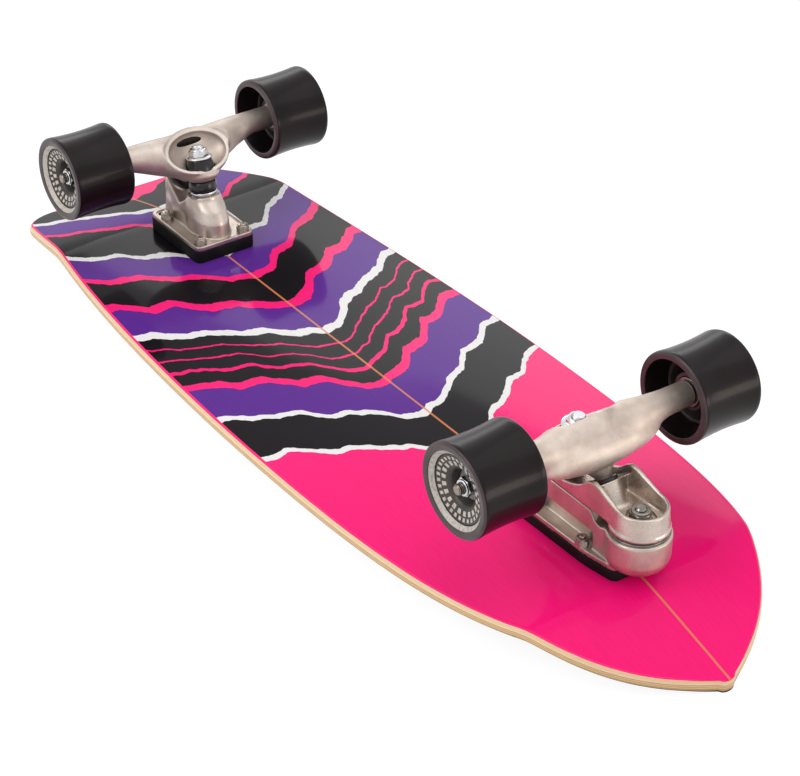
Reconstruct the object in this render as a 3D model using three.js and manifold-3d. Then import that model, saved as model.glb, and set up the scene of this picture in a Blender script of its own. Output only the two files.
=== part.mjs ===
// Surf skateboard, standing upside down on the tip of its nose and the end of its tail.
// Millimetres. +X points to the nose, +Z up, away from the rider's side of the deck.
// The origin is on the floor, under the middle of the deck.
import * as THREE from 'three';
import { mergeVertices } from 'three/addons/utils/BufferGeometryUtils.js';
import Module from 'manifold-3d';

const wasm = await Module();
wasm.setup();

// Deck
const deckLength = 811;
const deckWidth = 269;
const deckThickness = 9.2;
const gripThickness = 0.8;
const kickDrop = 26.5;
const noseKickLength = 95;
const tailKickLength = 114;
const noseKickBlend = 8;
const tailKickBlend = 18;
const concaveDepth = 6.5;
const concaveReach = 310;
const flatHalfWidth = 30;
const railInset = 3.2;
const gripInset = 2.2;
const tipBlunt = 1.5;

// Running gear
const axleDistance = 530;
const axleMiddleX = -7.5;
const frontAxleHeight = 88;
const rearAxleHeight = 82;
const axleRadius = 4;
const axleChamfer = 0.8;
const hangerWidth = 165;
const axleReach = 35.5;
const axleLength = hangerWidth + 2 * axleReach;
const wheelDiameter = 69;
const wheelWidth = 52.3;
const wheelReach = 38.3;
const wheelTrack = hangerWidth + 2 * wheelReach;
const coreRadius = 24.8;
const coreWall = 3;
const coreDepth = 4;
const coreDish = 4.6;
const coreWellRadius = 13;
const hubRadius = 14.2;
const bearingRadius = 11;
const bearingWidth = 7;
const bearingSpan = 24;
const shieldRadius = 9.2;
const shieldDip = 0.5;
const axleNutRadius = 7.2;
const axleNutHeight = 6;

// Clearances
const seatGap = 0.05;
const fitGap = 0.3;
const runningGap = 0.6;
const overrun = 60;

// Mounting pattern of both trucks, and its bolts
const boltSpacingX = 54;
const boltSpacingY = 41.3;
const spareHolePitch = 9.5;
const frontPatternOffset = -10;
const rearPatternOffset = 25;
const boltRadius = 2.4;
const boltHoleRadius = 2.8;
const boltHeadRadius = 4.6;
const boltHeadHeight = 3;
const boltNutRadius = 5.3;
const boltNutHeight = 6;
const boltEnd = 1.2;

// Plates and riser pads
const rearRiserThickness = 11;
const frontRiserThickness = 8.5;
const riserMargin = 0.3;
const plateThickness = 4;
const plateCorner = 6;
const plateRim = 2.2;
const plateRimHeight = 1.3;
const rearPlateTailX = -18;
const rearPlateNoseX = 59;
const rearPlateHalfWidth = 28;
const frontPlateTailX = -109;
const frontPlateNoseX = 1;
const frontPlateTailHalfWidth = 25.5;
const frontPlateShoulderX = -26;
const frontPlateShoulderHalfWidth = 24.2;
const frontPlateNoseHalfWidth = 20;

// Kingpin and what is threaded on it, in a truck's frame: origin on the axle,
// +X to the kingpin, +Z away from the deck. Heights count from the kingpin's seat.
const kingpinTilt = THREE.MathUtils.degToRad(11);
const seatX = 25.8;
const seatZ = -38;
const kingpinRadius = 4.8;
const kingpinTop = 42.5;
const kingpinPoint = 1;
const rearHeadBottom = -15;
const rearHeadHeight = 5.6;
const rearHeadRadius = 8.2;
const armHeadBottom = -5.4;
const armHeadHeight = 2.8;
const armHeadRadius = 7.8;
const cupWasherRadius = 11.2;
const cupWasherHeight = 1.6;
const cupWasherLip = 1.5;
const cupWasherWall = 1;
const bushingRadius = 10.9;
const bushingTopRadius = 9;
const bushingBore = 5.4;
const ringBottom = 12.9;
const ringTop = 20.5;
const ringFootRadius = 11.6;
const ringRadius = 15.5;
const ringFlare = 4.5;
const ringHoleRadius = 8;
const wellRadius = 12.5;
const roadBushingTop = 31.8;
const roadWasherRadius = 9.6;
const kingpinNutRadius = 8.25;
const kingpinNutHeight = 6;
const nutCollarHeight = 1.6;
const nutCollarShare = 0.84;

// Pivot of the hanger, in a truck's frame
const pivotX = -13.5;
const pivotZ = -35.5;
const pivotTilt = THREE.MathUtils.degToRad(37);
const pivotTipRadius = 5.2;
const pivotCupRadius = 7.6;
const pivotRim = 1.2;
const noseLength = 30;
const noseRadius = 11;

// Hanger, in a truck's frame
const endBossRadius = 9.5;
const bowlX = 13;
const bowlZ = -6;
const bowlRadiusX = 24;
const bowlRadiusY = 31;
const bowlRadiusZ = 22;
const windowX = 18.5;
const windowZ = -1;
const windowHalfHeight = 18;
const windowHalfWidth = 26.5;
const windowDepth = 13;
const windowTilt = THREE.MathUtils.degToRad(38);

// Rear base, in its truck's frame
const towerRadius = 13.5;
const webHalfWidth = 13.3;
const webFootHalfWidth = 15.6;
const webShoulderShare = 0.275;
const webTopZ = -24;
const towerRise = 3.56;
const housingRise = 12.54;

// Front base, in the frame of the swinging arm's pivot: origin on the plate's underside
const armPivotOffset = 50;
const wallTailX = -103;
const wallHalfWidth = 19;
const wallTop = 34;
const wallFrontRadius = 26;
const bossRadius = 23;
const bossBottom = 2;
const bossTop = 28;
const recessTailX = -99;
const recessNoseX = -25;
const recessHalfWidth = 13.8;
const recessTop = 18.5;
const recessCorner = 4;
const channelZ = 18.5;
const channelRadius = 8.2;
const hubCavityRadius = 13.3;
const hubCavityFloor = 9;

// Swinging arm, its bolt and its thrust bearing, in the same frame
const armFootRadius = 21.5;
const armFootHeight = 2.6;
const armBodyRadius = 20.8;
const armRimRadius = 19.2;
const armRimZ = 48.5;
const armRidgeZ = 57;
const armHalfWidth = 18.8;
const armTailX = -91;
const armTailRadius = 14;
const armBowlRadius = 16.6;
const armBowlFloor = 36.5;
const armSlotTailX = -30;
const armSlotHalfWidth = 15;
const armSlotCorner = 1;
const armPocketTailX = -62;
const armPocketNoseX = -24;
const armPocketFloor = 38.7;
const socketWall = 3;
const seatMargin = 1;
const spigotRadius = 12.8;
const spigotBottom = 11.5;
const notchDepth = 6;
const thrustInnerRadius = 14;
const thrustRadius = 20.5;
const thrustWasherHeight = 1;
const thrustCageHeight = 1.8;
const thrustGroove = 0.5;
const armBoltRadius = 4;
const armBoltHeadRadius = 7;
const armBoltHeadHeight = 3.6;
const armNutFlangeRadius = 11.5;
const armNutFlangeHeight = 1.7;
const armNutRadius = 8;
const armNutHeight = 6.5;

// Return spring in its channel
const springRadius = 5.5;
const springWireRadius = 1.1;
const springTurns = 9;
const springLength = 58;
const springStartX = -18;
const springCupRadius = 7.6;
const springCupHeight = 3;
const springGuideLength = 4;
const plugLength = 20;
const plugSocketRadius = 3.2;
const plugSocketDepth = 6;

// Steps of the round shapes
const fineSteps = 20;
const middleSteps = 14;
const coarseSteps = 10;
const smallSteps = 8;
const hexSides = 6;
const ballSteps = 16;
const ballRows = 8;
const deckStations = 22;
const outlineSteps = 40;
const springSteps = 8;
const wireSides = 5;

const halfLength = deckLength / 2;
const halfWidth = deckWidth / 2;
const deckTop = kickDrop + deckThickness + gripThickness;
const frontAxleX = axleMiddleX + axleDistance / 2;
const rearAxleX = axleMiddleX - axleDistance / 2;
const armPivotX = frontAxleX + armPivotOffset;
const wheelRadius = wheelDiameter / 2;
const rearPlateZ = rearRiserThickness + 2 * seatGap;
const frontPlateZ = frontRiserThickness + 2 * seatGap;

const looks = {
  deck: [0xff2f83, 0.25, 0],
  grip: [0x1b1b1c, 0.95, 0],
  riser: [0x141414, 0.6, 0],
  casting: [0xb9b0a8, 0.5, 0.85],
  steel: [0xc9ccd0, 0.3, 1],
  zinc: [0xd6dade, 0.35, 1],
  axle: [0x6d6f73, 0.4, 1],
  urethane: [0x1a1718, 0.2, 0],
  bushing: [0x151516, 0.45, 0],
  core: [0x26262a, 0.5, 0],
};

function node(name, geometry, look) {
  const [color, roughness, metalness] = looks[look];
  const mesh = new THREE.Mesh(geometry, new THREE.MeshStandardMaterial({ color, roughness, metalness }));
  mesh.name = name;
  return mesh;
}

function grouped(x, y, z, ...children) {
  const group = new THREE.Group();
  group.position.set(x, y, z);
  group.add(...children);
  return group;
}

// Solids without seams, joined and cut

function toSolid(geometry) {
  const bare = geometry.index ? geometry.toNonIndexed() : geometry.clone();
  bare.deleteAttribute('normal');
  bare.deleteAttribute('uv');
  const welded = mergeVertices(bare);
  const corners = welded.index.array;
  const kept = [];
  for (let i = 0; i < corners.length; i += 3) {
    const [a, b, c] = corners.subarray(i, i + 3);
    if (a !== b && b !== c && c !== a) kept.push(a, b, c);
  }
  return new wasm.Manifold(new wasm.Mesh({
    numProp: 3,
    vertProperties: new Float32Array(welded.attributes.position.array),
    triVerts: new Uint32Array(kept),
  }));
}

function toGeometry(solid) {
  const mesh = solid.getMesh();
  const geometry = new THREE.BufferGeometry();
  geometry.setAttribute('position', new THREE.BufferAttribute(mesh.vertProperties, mesh.numProp));
  geometry.setIndex(Array.from(mesh.triVerts));
  return geometry;
}

function join(...geometries) {
  return toGeometry(geometries.map(toSolid).reduce((whole, next) => whole.add(next)));
}

function cut(body, ...tools) {
  return toGeometry(tools.map(toSolid).reduce((rest, tool) => rest.subtract(tool), toSolid(body)));
}

function common(first, second) {
  return toGeometry(toSolid(first).intersect(toSolid(second)));
}

// Points from shares of two sizes, counted from an origin
function places(shares, sizeX, sizeZ, originX = 0, originZ = 0) {
  return shares.map(([x, z]) => [originX + sizeX * x, originZ + sizeZ * z]);
}

// Turned about Z: the profile of [radius, height] starts and ends on the axis
function turned(profile, steps) {
  const points = profile.map(([r, z]) => new THREE.Vector2(r, z));
  return new THREE.LatheGeometry(points, steps).rotateX(Math.PI / 2);
}

// Turned about Z: the profile closes on itself
function turnedRing(profile, steps) {
  return turned([...profile, profile[0]], steps);
}

function tube(innerRadius, outerRadius, bottom, top, steps) {
  const profile = [[innerRadius, bottom], [outerRadius, bottom], [outerRadius, top], [innerRadius, top]];
  return turnedRing(profile, steps);
}

function rod(radius, bottom, top, steps) {
  return new THREE.CylinderGeometry(radius, radius, top - bottom, steps)
    .rotateX(Math.PI / 2)
    .translate(0, 0, (top + bottom) / 2);
}

function box(x0, x1, y0, y1, z0, z1) {
  return new THREE.BoxGeometry(x1 - x0, y1 - y0, z1 - z0)
    .translate((x0 + x1) / 2, (y0 + y1) / 2, (z0 + z1) / 2);
}

// A block that reaches past the part on every side, between two heights
function layer(z0, z1) {
  return box(-2 * overrun, 2 * overrun, -overrun, overrun, z0, z1);
}

function ellipsoid(radiusX, radiusY, radiusZ) {
  return new THREE.SphereGeometry(1, ballSteps, ballRows).scale(radiusX, radiusY, radiusZ);
}

// An upright slab: a plan with straight sides and round corners
function slab(corners, corner, z0, z1) {
  const shape = new THREE.Shape();
  const towards = ([x, y], [toX, toY]) => {
    const share = corner / Math.hypot(toX - x, toY - y);
    return [x + share * (toX - x), y + share * (toY - y)];
  };
  corners.forEach((point, i) => {
    const start = towards(point, corners.at(i - 1));
    const end = towards(point, corners[(i + 1) % corners.length]);
    if (i === 0) shape.moveTo(...start);
    else shape.lineTo(...start);
    shape.quadraticCurveTo(...point, ...end);
  });
  return new THREE.ExtrudeGeometry(shape, { depth: z1 - z0, bevelEnabled: false, curveSegments: 3 })
    .translate(0, 0, z0);
}

// Corners of a plan that is symmetrical about X
function plan(tailX, noseX, tailHalfWidth, noseHalfWidth) {
  return [[tailX, -tailHalfWidth], [noseX, -noseHalfWidth], [noseX, noseHalfWidth], [tailX, tailHalfWidth]];
}

// A side profile of [x, z], drawn out across the board
function sideProfile(profile, half) {
  const shape = new THREE.Shape(profile.map(([x, z]) => new THREE.Vector2(x, z)));
  return new THREE.ExtrudeGeometry(shape, { depth: 2 * half, bevelEnabled: false })
    .rotateX(Math.PI / 2)
    .translate(0, half, 0);
}

// A closed skin through rings of points. Each facet is split away from the board's middle line,
// so that skins on the same stations match.
function lofted(rings) {
  const size = rings[0].length;
  const points = rings.flat();
  const index = [];
  for (let i = 0; i + 1 < rings.length; i += 1) {
    for (let j = 0; j < size; j += 1) {
      const a = i * size + j;
      const b = i * size + ((j + 1) % size);
      const [c, d] = [a + size, b + size];
      if (Math.abs(points[a][1]) < Math.abs(points[b][1])) index.push(a, c, d, a, d, b);
      else index.push(a, c, b, b, c, d);
    }
  }
  const last = (rings.length - 1) * size;
  for (let j = 1; j + 1 < size; j += 1) {
    index.push(0, j, j + 1, last, last + j + 1, last + j);
  }
  const geometry = new THREE.BufferGeometry();
  geometry.setAttribute('position', new THREE.Float32BufferAttribute(points.flat(), 3));
  geometry.setIndex(index);
  return geometry;
}

// An upright loft of ellipses, each with its height, middle and two radii
function ellipseTower(rings, steps) {
  return lofted(rings.map(([z, x, radiusX, radiusY]) => {
    const points = [];
    for (let i = 0; i < steps; i += 1) {
      const angle = 2 * Math.PI * i / steps;
      points.push([x + radiusX * Math.cos(angle), -radiusY * Math.sin(angle), z]);
    }
    return points;
  }));
}

// Deck and grip tape

// Half of the outline from the tail's end to the nose's tip, as curves whose points are
// shares of half the length and half the width
const tailEndShare = 0.46;
const outlineShares = [
  [[-1, 0.6], [-0.975, 0.7], [-0.938, 0.724]],
  [[-0.624, 0.951], [-0.141, 1], [0.058, 1]],
  [[0.7, 1], [0.898, 0.794], [1, 0]],
];

function outline() {
  const path = new THREE.Path();
  path.moveTo(-halfLength, tailEndShare * halfWidth);
  outlineShares.forEach((shares) => {
    path.bezierCurveTo(...places(shares, halfLength, halfWidth).flat());
  });
  return path.getPoints(outlineSteps);
}

const outlinePoints = outline();

function halfWidthAt(x) {
  const next = outlinePoints.findIndex((point, i) => i > 0 && x <= point.x);
  if (next < 0) return tipBlunt;
  const [from, to] = [outlinePoints[next - 1], outlinePoints[next]];
  const share = to.x > from.x ? (x - from.x) / (to.x - from.x) : 1;
  return Math.max(THREE.MathUtils.lerp(from.y, to.y, share), tipBlunt);
}

// How far an end of the deck has bent towards the floor
function kick(distance, length, blend) {
  const rise = (d) => Math.hypot(d, blend) - blend;
  return distance <= 0 ? 0 : kickDrop * rise(distance) / rise(length);
}

function surfaceZ(x, y, edge) {
  const nose = kick(x - halfLength + noseKickLength, noseKickLength, noseKickBlend);
  const tail = kick(-x - halfLength + tailKickLength, tailKickLength, tailKickBlend);
  const depth = concaveDepth * Math.max(0, 1 - (x / concaveReach) ** 4);
  const side = Math.max(0, Math.abs(y) - flatHalfWidth) / Math.max(edge - flatHalfWidth, flatHalfWidth);
  return deckTop - nose - tail - depth * side * side;
}

// Rows along the deck between the flat middle and the rail, and the rail's round
const rowShares = [0, 0.55, 1];
const railShares = [[0.3, 0.13], [0, 0.4], [0, 0.76]];

function rowsAcross(edge) {
  const flat = Math.min(flatHalfWidth, edge / 2);
  const half = rowShares.map((share) => flat + share * (edge - flat));
  return [...half.map((y) => -y).reverse(), 0, ...half];
}

function stationXs() {
  const xs = [halfLength - noseKickLength, tailKickLength - halfLength];
  for (let i = 0; i <= deckStations; i += 1) {
    xs.push(-halfLength * Math.cos(Math.PI * i / deckStations));
  }
  return xs.sort((a, b) => a - b);
}

function lowRow(x, edge, drop) {
  const inset = gripInset * Math.min(1, edge / flatHalfWidth);
  return rowsAcross(edge - inset).map((y) => [x, y, surfaceZ(x, y, edge) - drop]);
}

function deckRing(x) {
  const edge = halfWidthAt(x);
  const inset = railInset * Math.min(1, edge / flatHalfWidth);
  const top = rowsAcross(edge - inset).map((y) => [x, y, surfaceZ(x, y, edge)]);
  const rail = places(railShares, -inset, -deckThickness, edge, surfaceZ(x, edge, edge));
  const right = rail.map(([y, z]) => [x, y, z]);
  const left = rail.map(([y, z]) => [x, -y, z]);
  return [...top, ...right, ...lowRow(x, edge, deckThickness).reverse(), ...left.reverse()];
}

function gripRing(x) {
  const edge = halfWidthAt(x);
  const under = lowRow(x, edge, deckThickness + gripThickness);
  return [...lowRow(x, edge, deckThickness + seatGap), ...under.reverse()];
}

// Places of the eight mounting bolts
const boltPlaces = [];
const patterns = { rear: rearAxleX + rearPatternOffset, front: frontAxleX + frontPatternOffset };
for (const [truck, middleX] of Object.entries(patterns)) {
  for (const [end, towardsX] of [['tail', -1], ['nose', 1]]) {
    for (const [side, towardsY] of [['left', -1], ['right', 1]]) {
      const x = middleX + towardsX * boltSpacingX / 2;
      const y = towardsY * boltSpacingY / 2;
      boltPlaces.push({ name: `${truck}_${end}_${side}`, truck, x, y });
    }
  }
}

function deckHole({ x, y }) {
  const headHole = boltHeadRadius + fitGap;
  const neck = kickDrop + boltHeadHeight + fitGap;
  const profile = [[0, -overrun], [headHole, -overrun], [headHole, kickDrop + gripThickness],
    [boltHoleRadius, neck], [boltHoleRadius, deckTop + overrun], [0, deckTop + overrun]];
  return turned(profile, smallSteps).translate(x, y, 0);
}

function deckParts() {
  const xs = stationXs();
  const holes = boltPlaces.map(deckHole);
  return [
    node('deck', cut(lofted(xs.map(deckRing)), ...holes), 'deck'),
    node('grip_tape', cut(lofted(xs.map(gripRing)), ...holes), 'grip'),
  ];
}

// Mounting bolts, plates and riser pads

function mountingBolt({ name, truck, x, y }) {
  const plateZ = truck === 'rear' ? rearPlateZ - plateRimHeight : frontPlateZ;
  const nutZ = deckTop + plateZ + plateThickness + seatGap;
  const end = nutZ + boltNutHeight + boltEnd;
  const shank = turned([[0, kickDrop + seatGap], [boltHeadRadius, kickDrop + seatGap],
    [boltHeadRadius, kickDrop + gripThickness], [boltRadius, kickDrop + boltHeadHeight],
    [boltRadius, end], [0, end]], smallSteps);
  const hex = rod(boltNutRadius, nutZ, nutZ + boltNutHeight, hexSides);
  return grouped(x, y, 0, node(`mounting_bolt_${name}`, join(shank, hex), 'steel'));
}

function boltsOf(truck, originX) {
  return boltPlaces.filter((place) => place.truck === truck).map(({ x, y }) => ({ x: x - originX, y }));
}

function boltHoles(bolts, top) {
  return bolts.map(({ x, y }) => rod(boltHoleRadius, -overrun, top, smallSteps).translate(x, y, 0));
}

function frontPlan(margin) {
  const side = [[frontPlateTailX - margin, frontPlateTailHalfWidth + margin],
    [frontPlateShoulderX, frontPlateShoulderHalfWidth + margin],
    [frontPlateNoseX + margin, frontPlateNoseHalfWidth + margin]];
  return [...side.map(([x, y]) => [x, -y]), ...side.reverse()];
}

function rearPlan(margin) {
  return plan(rearPlateTailX - margin, rearPlateNoseX + margin, rearPlateHalfWidth + margin,
    rearPlateHalfWidth + margin);
}

function riserParts() {
  const rear = cut(slab(rearPlan(riserMargin), plateCorner, 0, rearRiserThickness),
    ...boltHoles(boltsOf('rear', rearAxleX), overrun));
  const front = cut(slab(frontPlan(riserMargin), plateCorner, 0, frontRiserThickness),
    ...boltHoles(boltsOf('front', armPivotX), overrun));
  return [
    grouped(rearAxleX, 0, deckTop + seatGap, node('rear_riser_pad', rear, 'riser')),
    grouped(armPivotX, 0, deckTop + seatGap, node('front_riser_pad', front, 'riser')),
  ];
}

// Frames along a truck's kingpin and its pivot

function onKingpin(geometry) {
  return geometry.rotateY(-kingpinTilt).translate(seatX, 0, seatZ);
}

function onPivot(geometry) {
  return geometry.rotateY(pivotTilt).translate(pivotX, 0, pivotZ);
}

function alongY(geometry) {
  return geometry.rotateX(Math.PI / 2);
}

// Hanger: a beam that swells towards a bowl round the bushings, with a nose for the pivot

// Beam sections: place across as a share of half the width, then middle and radii as shares
// of the end boss
const sectionShares = [
  [1, 0, 0, 1, 1],
  [0.73, 0, -0.05, 1.03, 1.05],
  [0.55, 0.1, -0.32, 1.26, 1.37],
  [0.36, 0.32, -0.63, 1.68, 1.68],
  [0.18, 0.63, -0.84, 2.1, 1.9],
  [0, 0.84, -0.95, 2.3, 2],
];
const noseShares = [[0, -0.17], [0.28, -0.14], [0.47, 0], [0.44, 0.17], [0.8, 0.38], [1, 0.65], [1.05, 1],
  [0, 1]];

function hangerBeam() {
  const right = sectionShares.slice(0, -1).map(([y, ...section]) => [-y, ...section]);
  const sections = [...right, ...sectionShares.slice().reverse()];
  return lofted(sections.map(([y, x, z, radiusX, radiusZ]) => {
    const points = [];
    for (let i = 0; i < ballSteps; i += 1) {
      const angle = 2 * Math.PI * i / ballSteps;
      points.push([endBossRadius * (x + radiusX * Math.cos(angle)), y * hangerWidth / 2,
        endBossRadius * (z + radiusZ * Math.sin(angle))]);
    }
    return points;
  }));
}

function hanger() {
  const bowl = ellipsoid(bowlRadiusX, bowlRadiusY, bowlRadiusZ).translate(bowlX, 0, bowlZ);
  const aboveWindow = layer(0, overrun).rotateY(windowTilt).translate(windowX, 0, windowZ);
  const belowRing = onKingpin(layer(-overrun, ringBottom));
  const shell = cut(join(hangerBeam(), bowl), belowRing);
  const ring = onKingpin(turned([[0, ringBottom], [ringFootRadius, ringBottom],
    [ringRadius, ringBottom + ringFlare], [ringRadius, ringTop], [0, ringTop]], fineSteps));
  const nose = onPivot(turned(places(noseShares, noseRadius, noseLength), middleSteps));
  const cavity = ellipsoid(windowHalfHeight, windowHalfWidth, windowDepth)
    .rotateY(windowTilt).translate(windowX, 0, windowZ);
  const well = onKingpin(rod(wellRadius, ringTop, overrun, fineSteps));
  const hole = onKingpin(rod(ringHoleRadius, 0, overrun, middleSteps));
  const axleBore = alongY(rod(axleRadius + fitGap, -hangerWidth, hangerWidth, coarseSteps));
  return cut(join(shell, ring, nose), aboveWindow, cavity, well, hole, axleBore);
}

function axle() {
  const half = axleLength / 2;
  const profile = [[0, -half], [axleRadius - axleChamfer, -half], [axleRadius, axleChamfer - half],
    [axleRadius, half - axleChamfer], [axleRadius - axleChamfer, half], [0, half]];
  return alongY(turned(profile, coarseSteps));
}

// Kingpin, bushings and washers, along the kingpin from its seat

function cupWasher(bottom) {
  const top = bottom + cupWasherHeight;
  const inside = cupWasherRadius - cupWasherWall;
  return turnedRing([[bushingBore, bottom], [inside, bottom], [cupWasherRadius, bottom + cupWasherLip],
    [cupWasherRadius, top + cupWasherLip], [inside, top + cupWasherLip], [inside, top],
    [bushingBore, top]], middleSteps);
}

const barrelShares = [[0.93, 0], [1, 0.12], [1, 0.88], [0.93, 1]];

function barrelBushing(bottom, top) {
  const side = places(barrelShares, bushingRadius - cupWasherWall, top - bottom, 0, bottom);
  return turnedRing([[bushingBore, bottom], ...side, [bushingBore, top]], middleSteps);
}

function coneBushing(bottom, top) {
  return turnedRing([[bushingBore, bottom], [bushingRadius - cupWasherWall, bottom],
    [bushingRadius, bottom + cupWasherWall], [bushingTopRadius, top], [bushingBore, top]], middleSteps);
}

function kingpin(headBottom, headHeight, headRadius, headSides) {
  const shank = turned([[0, headBottom], [kingpinRadius, headBottom],
    [kingpinRadius, kingpinTop - kingpinPoint], [kingpinRadius - kingpinPoint, kingpinTop],
    [0, kingpinTop]], coarseSteps);
  return join(shank, rod(headRadius, headBottom, headBottom + headHeight, headSides));
}

// A lock nut: a hexagon with a round collar on its outer end
function lockNut(boreRadius, radius, bottom, height) {
  const hex = rod(radius, bottom, bottom + height - nutCollarHeight, hexSides);
  const collar = rod(nutCollarShare * radius, bottom, bottom + height, coarseSteps);
  const bore = rod(boreRadius + fitGap, bottom - overrun, bottom + overrun, coarseSteps);
  return cut(join(hex, collar), bore);
}

function kingpinParts(truck) {
  const cupTop = cupWasherHeight + seatGap + fitGap;
  const washerZ = roadBushingTop + fitGap;
  const nutZ = washerZ + cupWasherHeight + seatGap;
  const pin = truck === 'rear'
    ? kingpin(rearHeadBottom, rearHeadHeight, rearHeadRadius, hexSides)
    : kingpin(armHeadBottom, armHeadHeight, armHeadRadius, middleSteps);
  const roadWasher = tube(bushingBore, roadWasherRadius, washerZ, washerZ + cupWasherHeight, middleSteps);
  const group = grouped(
    seatX, 0, seatZ,
    node(`${truck}_kingpin`, pin, 'zinc'),
    node(`${truck}_cup_washer_deckside`, cupWasher(seatGap), 'zinc'),
    node(`${truck}_bushing_deckside`, barrelBushing(cupTop, ringBottom - fitGap), 'bushing'),
    node(`${truck}_bushing_roadside`, coneBushing(ringTop + fitGap, roadBushingTop), 'bushing'),
    node(`${truck}_washer_roadside`, roadWasher, 'zinc'),
    node(`${truck}_kingpin_nut`, lockNut(kingpinRadius, kingpinNutRadius, nutZ, kingpinNutHeight), 'zinc'),
  );
  group.rotation.y = -kingpinTilt;
  return group;
}

// The pivot cup, and the socket that it sits in: a round-bottomed bore towards the hanger
const cupShares = [[0, -0.92], [0.62, -0.8], [0.94, -0.2], [0.94, 0.15]];
const cupBoreShares = [[1.04, 0.15], [1.06, -0.1], [0.75, -0.8], [0, -1.1]];
const socketShares = [[0, -1], [0.52, -0.92], [0.9, -0.62], [1, 0]];

function pivotCup() {
  const outside = places(cupShares, pivotCupRadius, pivotCupRadius);
  const inside = places(cupBoreShares, pivotTipRadius, pivotTipRadius);
  return turned([...outside, ...inside], middleSteps);
}

function pivotParts(truck) {
  const group = grouped(pivotX, 0, pivotZ, node(`${truck}_pivot_cup`, pivotCup(), 'bushing'));
  group.rotation.y = pivotTilt;
  return group;
}

function socketBore() {
  const bottom = places(socketShares, pivotCupRadius, pivotCupRadius);
  return onPivot(turned([...bottom, [pivotCupRadius, overrun], [0, overrun]], middleSteps));
}

// Rear base: a plate with the kingpin's tower and the pivot's housing, in its truck's frame

// Rings from the plate up: share of the height, then middle and radii as shares of the
// tower's radius
const towerShares = [[0, 2.2, 1.82, 1.2], [0.381, 2.15, 1.74, 1.18], [0.643, 2, 1.55, 1.12],
  [0.881, 1.9, 1.03, 1.01], [1, 1.88, 1, 1]];
const housingShares = [[0, -0.6, 0.98, 1.14], [0.286, -0.75, 0.95, 1.08], [0.518, -0.9, 0.92, 0.94],
  [1, -1, 0.88, 0.88]];

// Side profile of the web between them, as shares of the tower's radius and height
const webShares = [[-1.215, 0], [3.037, 0], [2.065, 0.762], [1.61, 0.845], [0.425, 0.496],
  [-0.972, 1], [-1.215, 0.81]];

function towerFrom(shares, bottom, top) {
  const rings = shares.map(([height, middle, radiusX, radiusY]) => [
    bottom + (top - bottom) * height,
    towerRadius * middle,
    towerRadius * radiusX,
    towerRadius * radiusY,
  ]);
  return ellipseTower(rings, fineSteps);
}

function rearWeb(plateBottom, bottom, top) {
  const webShoulderZ = plateBottom + (webTopZ - plateBottom) * webShoulderShare;
  const side = sideProfile(places(webShares, towerRadius, top - bottom, 0, bottom), overrun);
  const front = sideProfile([[-webFootHalfWidth, plateBottom], [webFootHalfWidth, plateBottom],
    [webHalfWidth, webShoulderZ], [webHalfWidth, webTopZ], [-webHalfWidth, webTopZ],
    [-webHalfWidth, webShoulderZ]], overrun).rotateZ(Math.PI / 2);
  return common(side, front);
}

function rearBase() {
  const plateBottom = rearPlateZ - rearAxleHeight;
  const plateTop = plateBottom + plateThickness;
  const floor = plateTop - plateRimHeight;
  const plate = cut(slab(rearPlan(0), plateCorner, plateBottom, plateTop),
    slab(rearPlan(-plateRim), plateCorner, floor, overrun));
  const footZ = plateBottom + plateThickness / 2;
  const towerTopZ = seatZ + towerRise;
  const tower = cut(towerFrom(towerShares, footZ, towerTopZ), onKingpin(layer(0, overrun)));
  const housing = cut(towerFrom(housingShares, footZ, pivotZ + housingRise),
    onPivot(layer(pivotRim, overrun)));
  const pinHole = onKingpin(rod(kingpinRadius + fitGap, -overrun, overrun, middleSteps));
  const headPocket = onKingpin(rod(rearHeadRadius + runningGap, -overrun,
    rearHeadBottom + rearHeadHeight + seatGap, hexSides));
  const bolts = boltsOf('rear', rearAxleX);
  const spares = bolts.filter(({ x }) => x < 0).map(({ x, y }) => ({ x: x - spareHolePitch, y }));
  const holes = boltHoles([...bolts, ...spares], overrun).map((hole) => hole.translate(0, 0, plateBottom));
  const nutSeats = bolts.map(({ x, y }) => rod(boltNutRadius + runningGap, floor, 0, coarseSteps)
    .translate(x, y, 0));
  const web = rearWeb(plateBottom, footZ, towerTopZ);
  return cut(join(plate, tower, housing, web), socketBore(), pinHole, headPocket, ...holes, ...nutSeats);
}

// Front base: a plate with the wall round the spring's channel and the boss under the arm

const bossShares = [[0, 0], [0.84, 0], [0.96, 0.16], [1, 0.28], [1, 0.96], [0.96, 1], [0, 1]];

function frontBase() {
  const flange = slab(frontPlan(0), plateCorner, 0, plateThickness);
  const wall = slab(plan(wallTailX, 0, wallHalfWidth, wallHalfWidth), plateCorner, 0, wallTop);
  const boss = turned(places(bossShares, bossRadius, bossTop - bossBottom, 0, bossBottom), fineSteps);
  const recesses = [-1, 1].map((side) => slab(
    plan(recessTailX, recessNoseX, recessHalfWidth, recessHalfWidth),
    recessCorner,
    plateThickness,
    recessTop,
  ).translate(0, 2 * side * recessHalfWidth, 0));
  const armSpace = rod(wallFrontRadius, bossTop, overrun, fineSteps);
  const hubCavity = rod(hubCavityRadius, hubCavityFloor, overrun, fineSteps);
  const channel = rod(channelRadius, 0, 2 * overrun, middleSteps).rotateY(-Math.PI / 2)
    .translate(0, 0, channelZ);
  const boltHole = rod(armBoltRadius + fitGap, -overrun, overrun, coarseSteps);
  const headPocket = rod(armBoltHeadRadius + runningGap, -overrun, armBoltHeadHeight + seatGap, hexSides);
  return cut(join(flange, wall, boss), armSpace, ...recesses, hubCavity, channel, boltHole, headPocket,
    ...boltHoles(boltsOf('front', armPivotX), plateThickness + runningGap));
}

// Swinging arm, in the frame of its pivot

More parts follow.
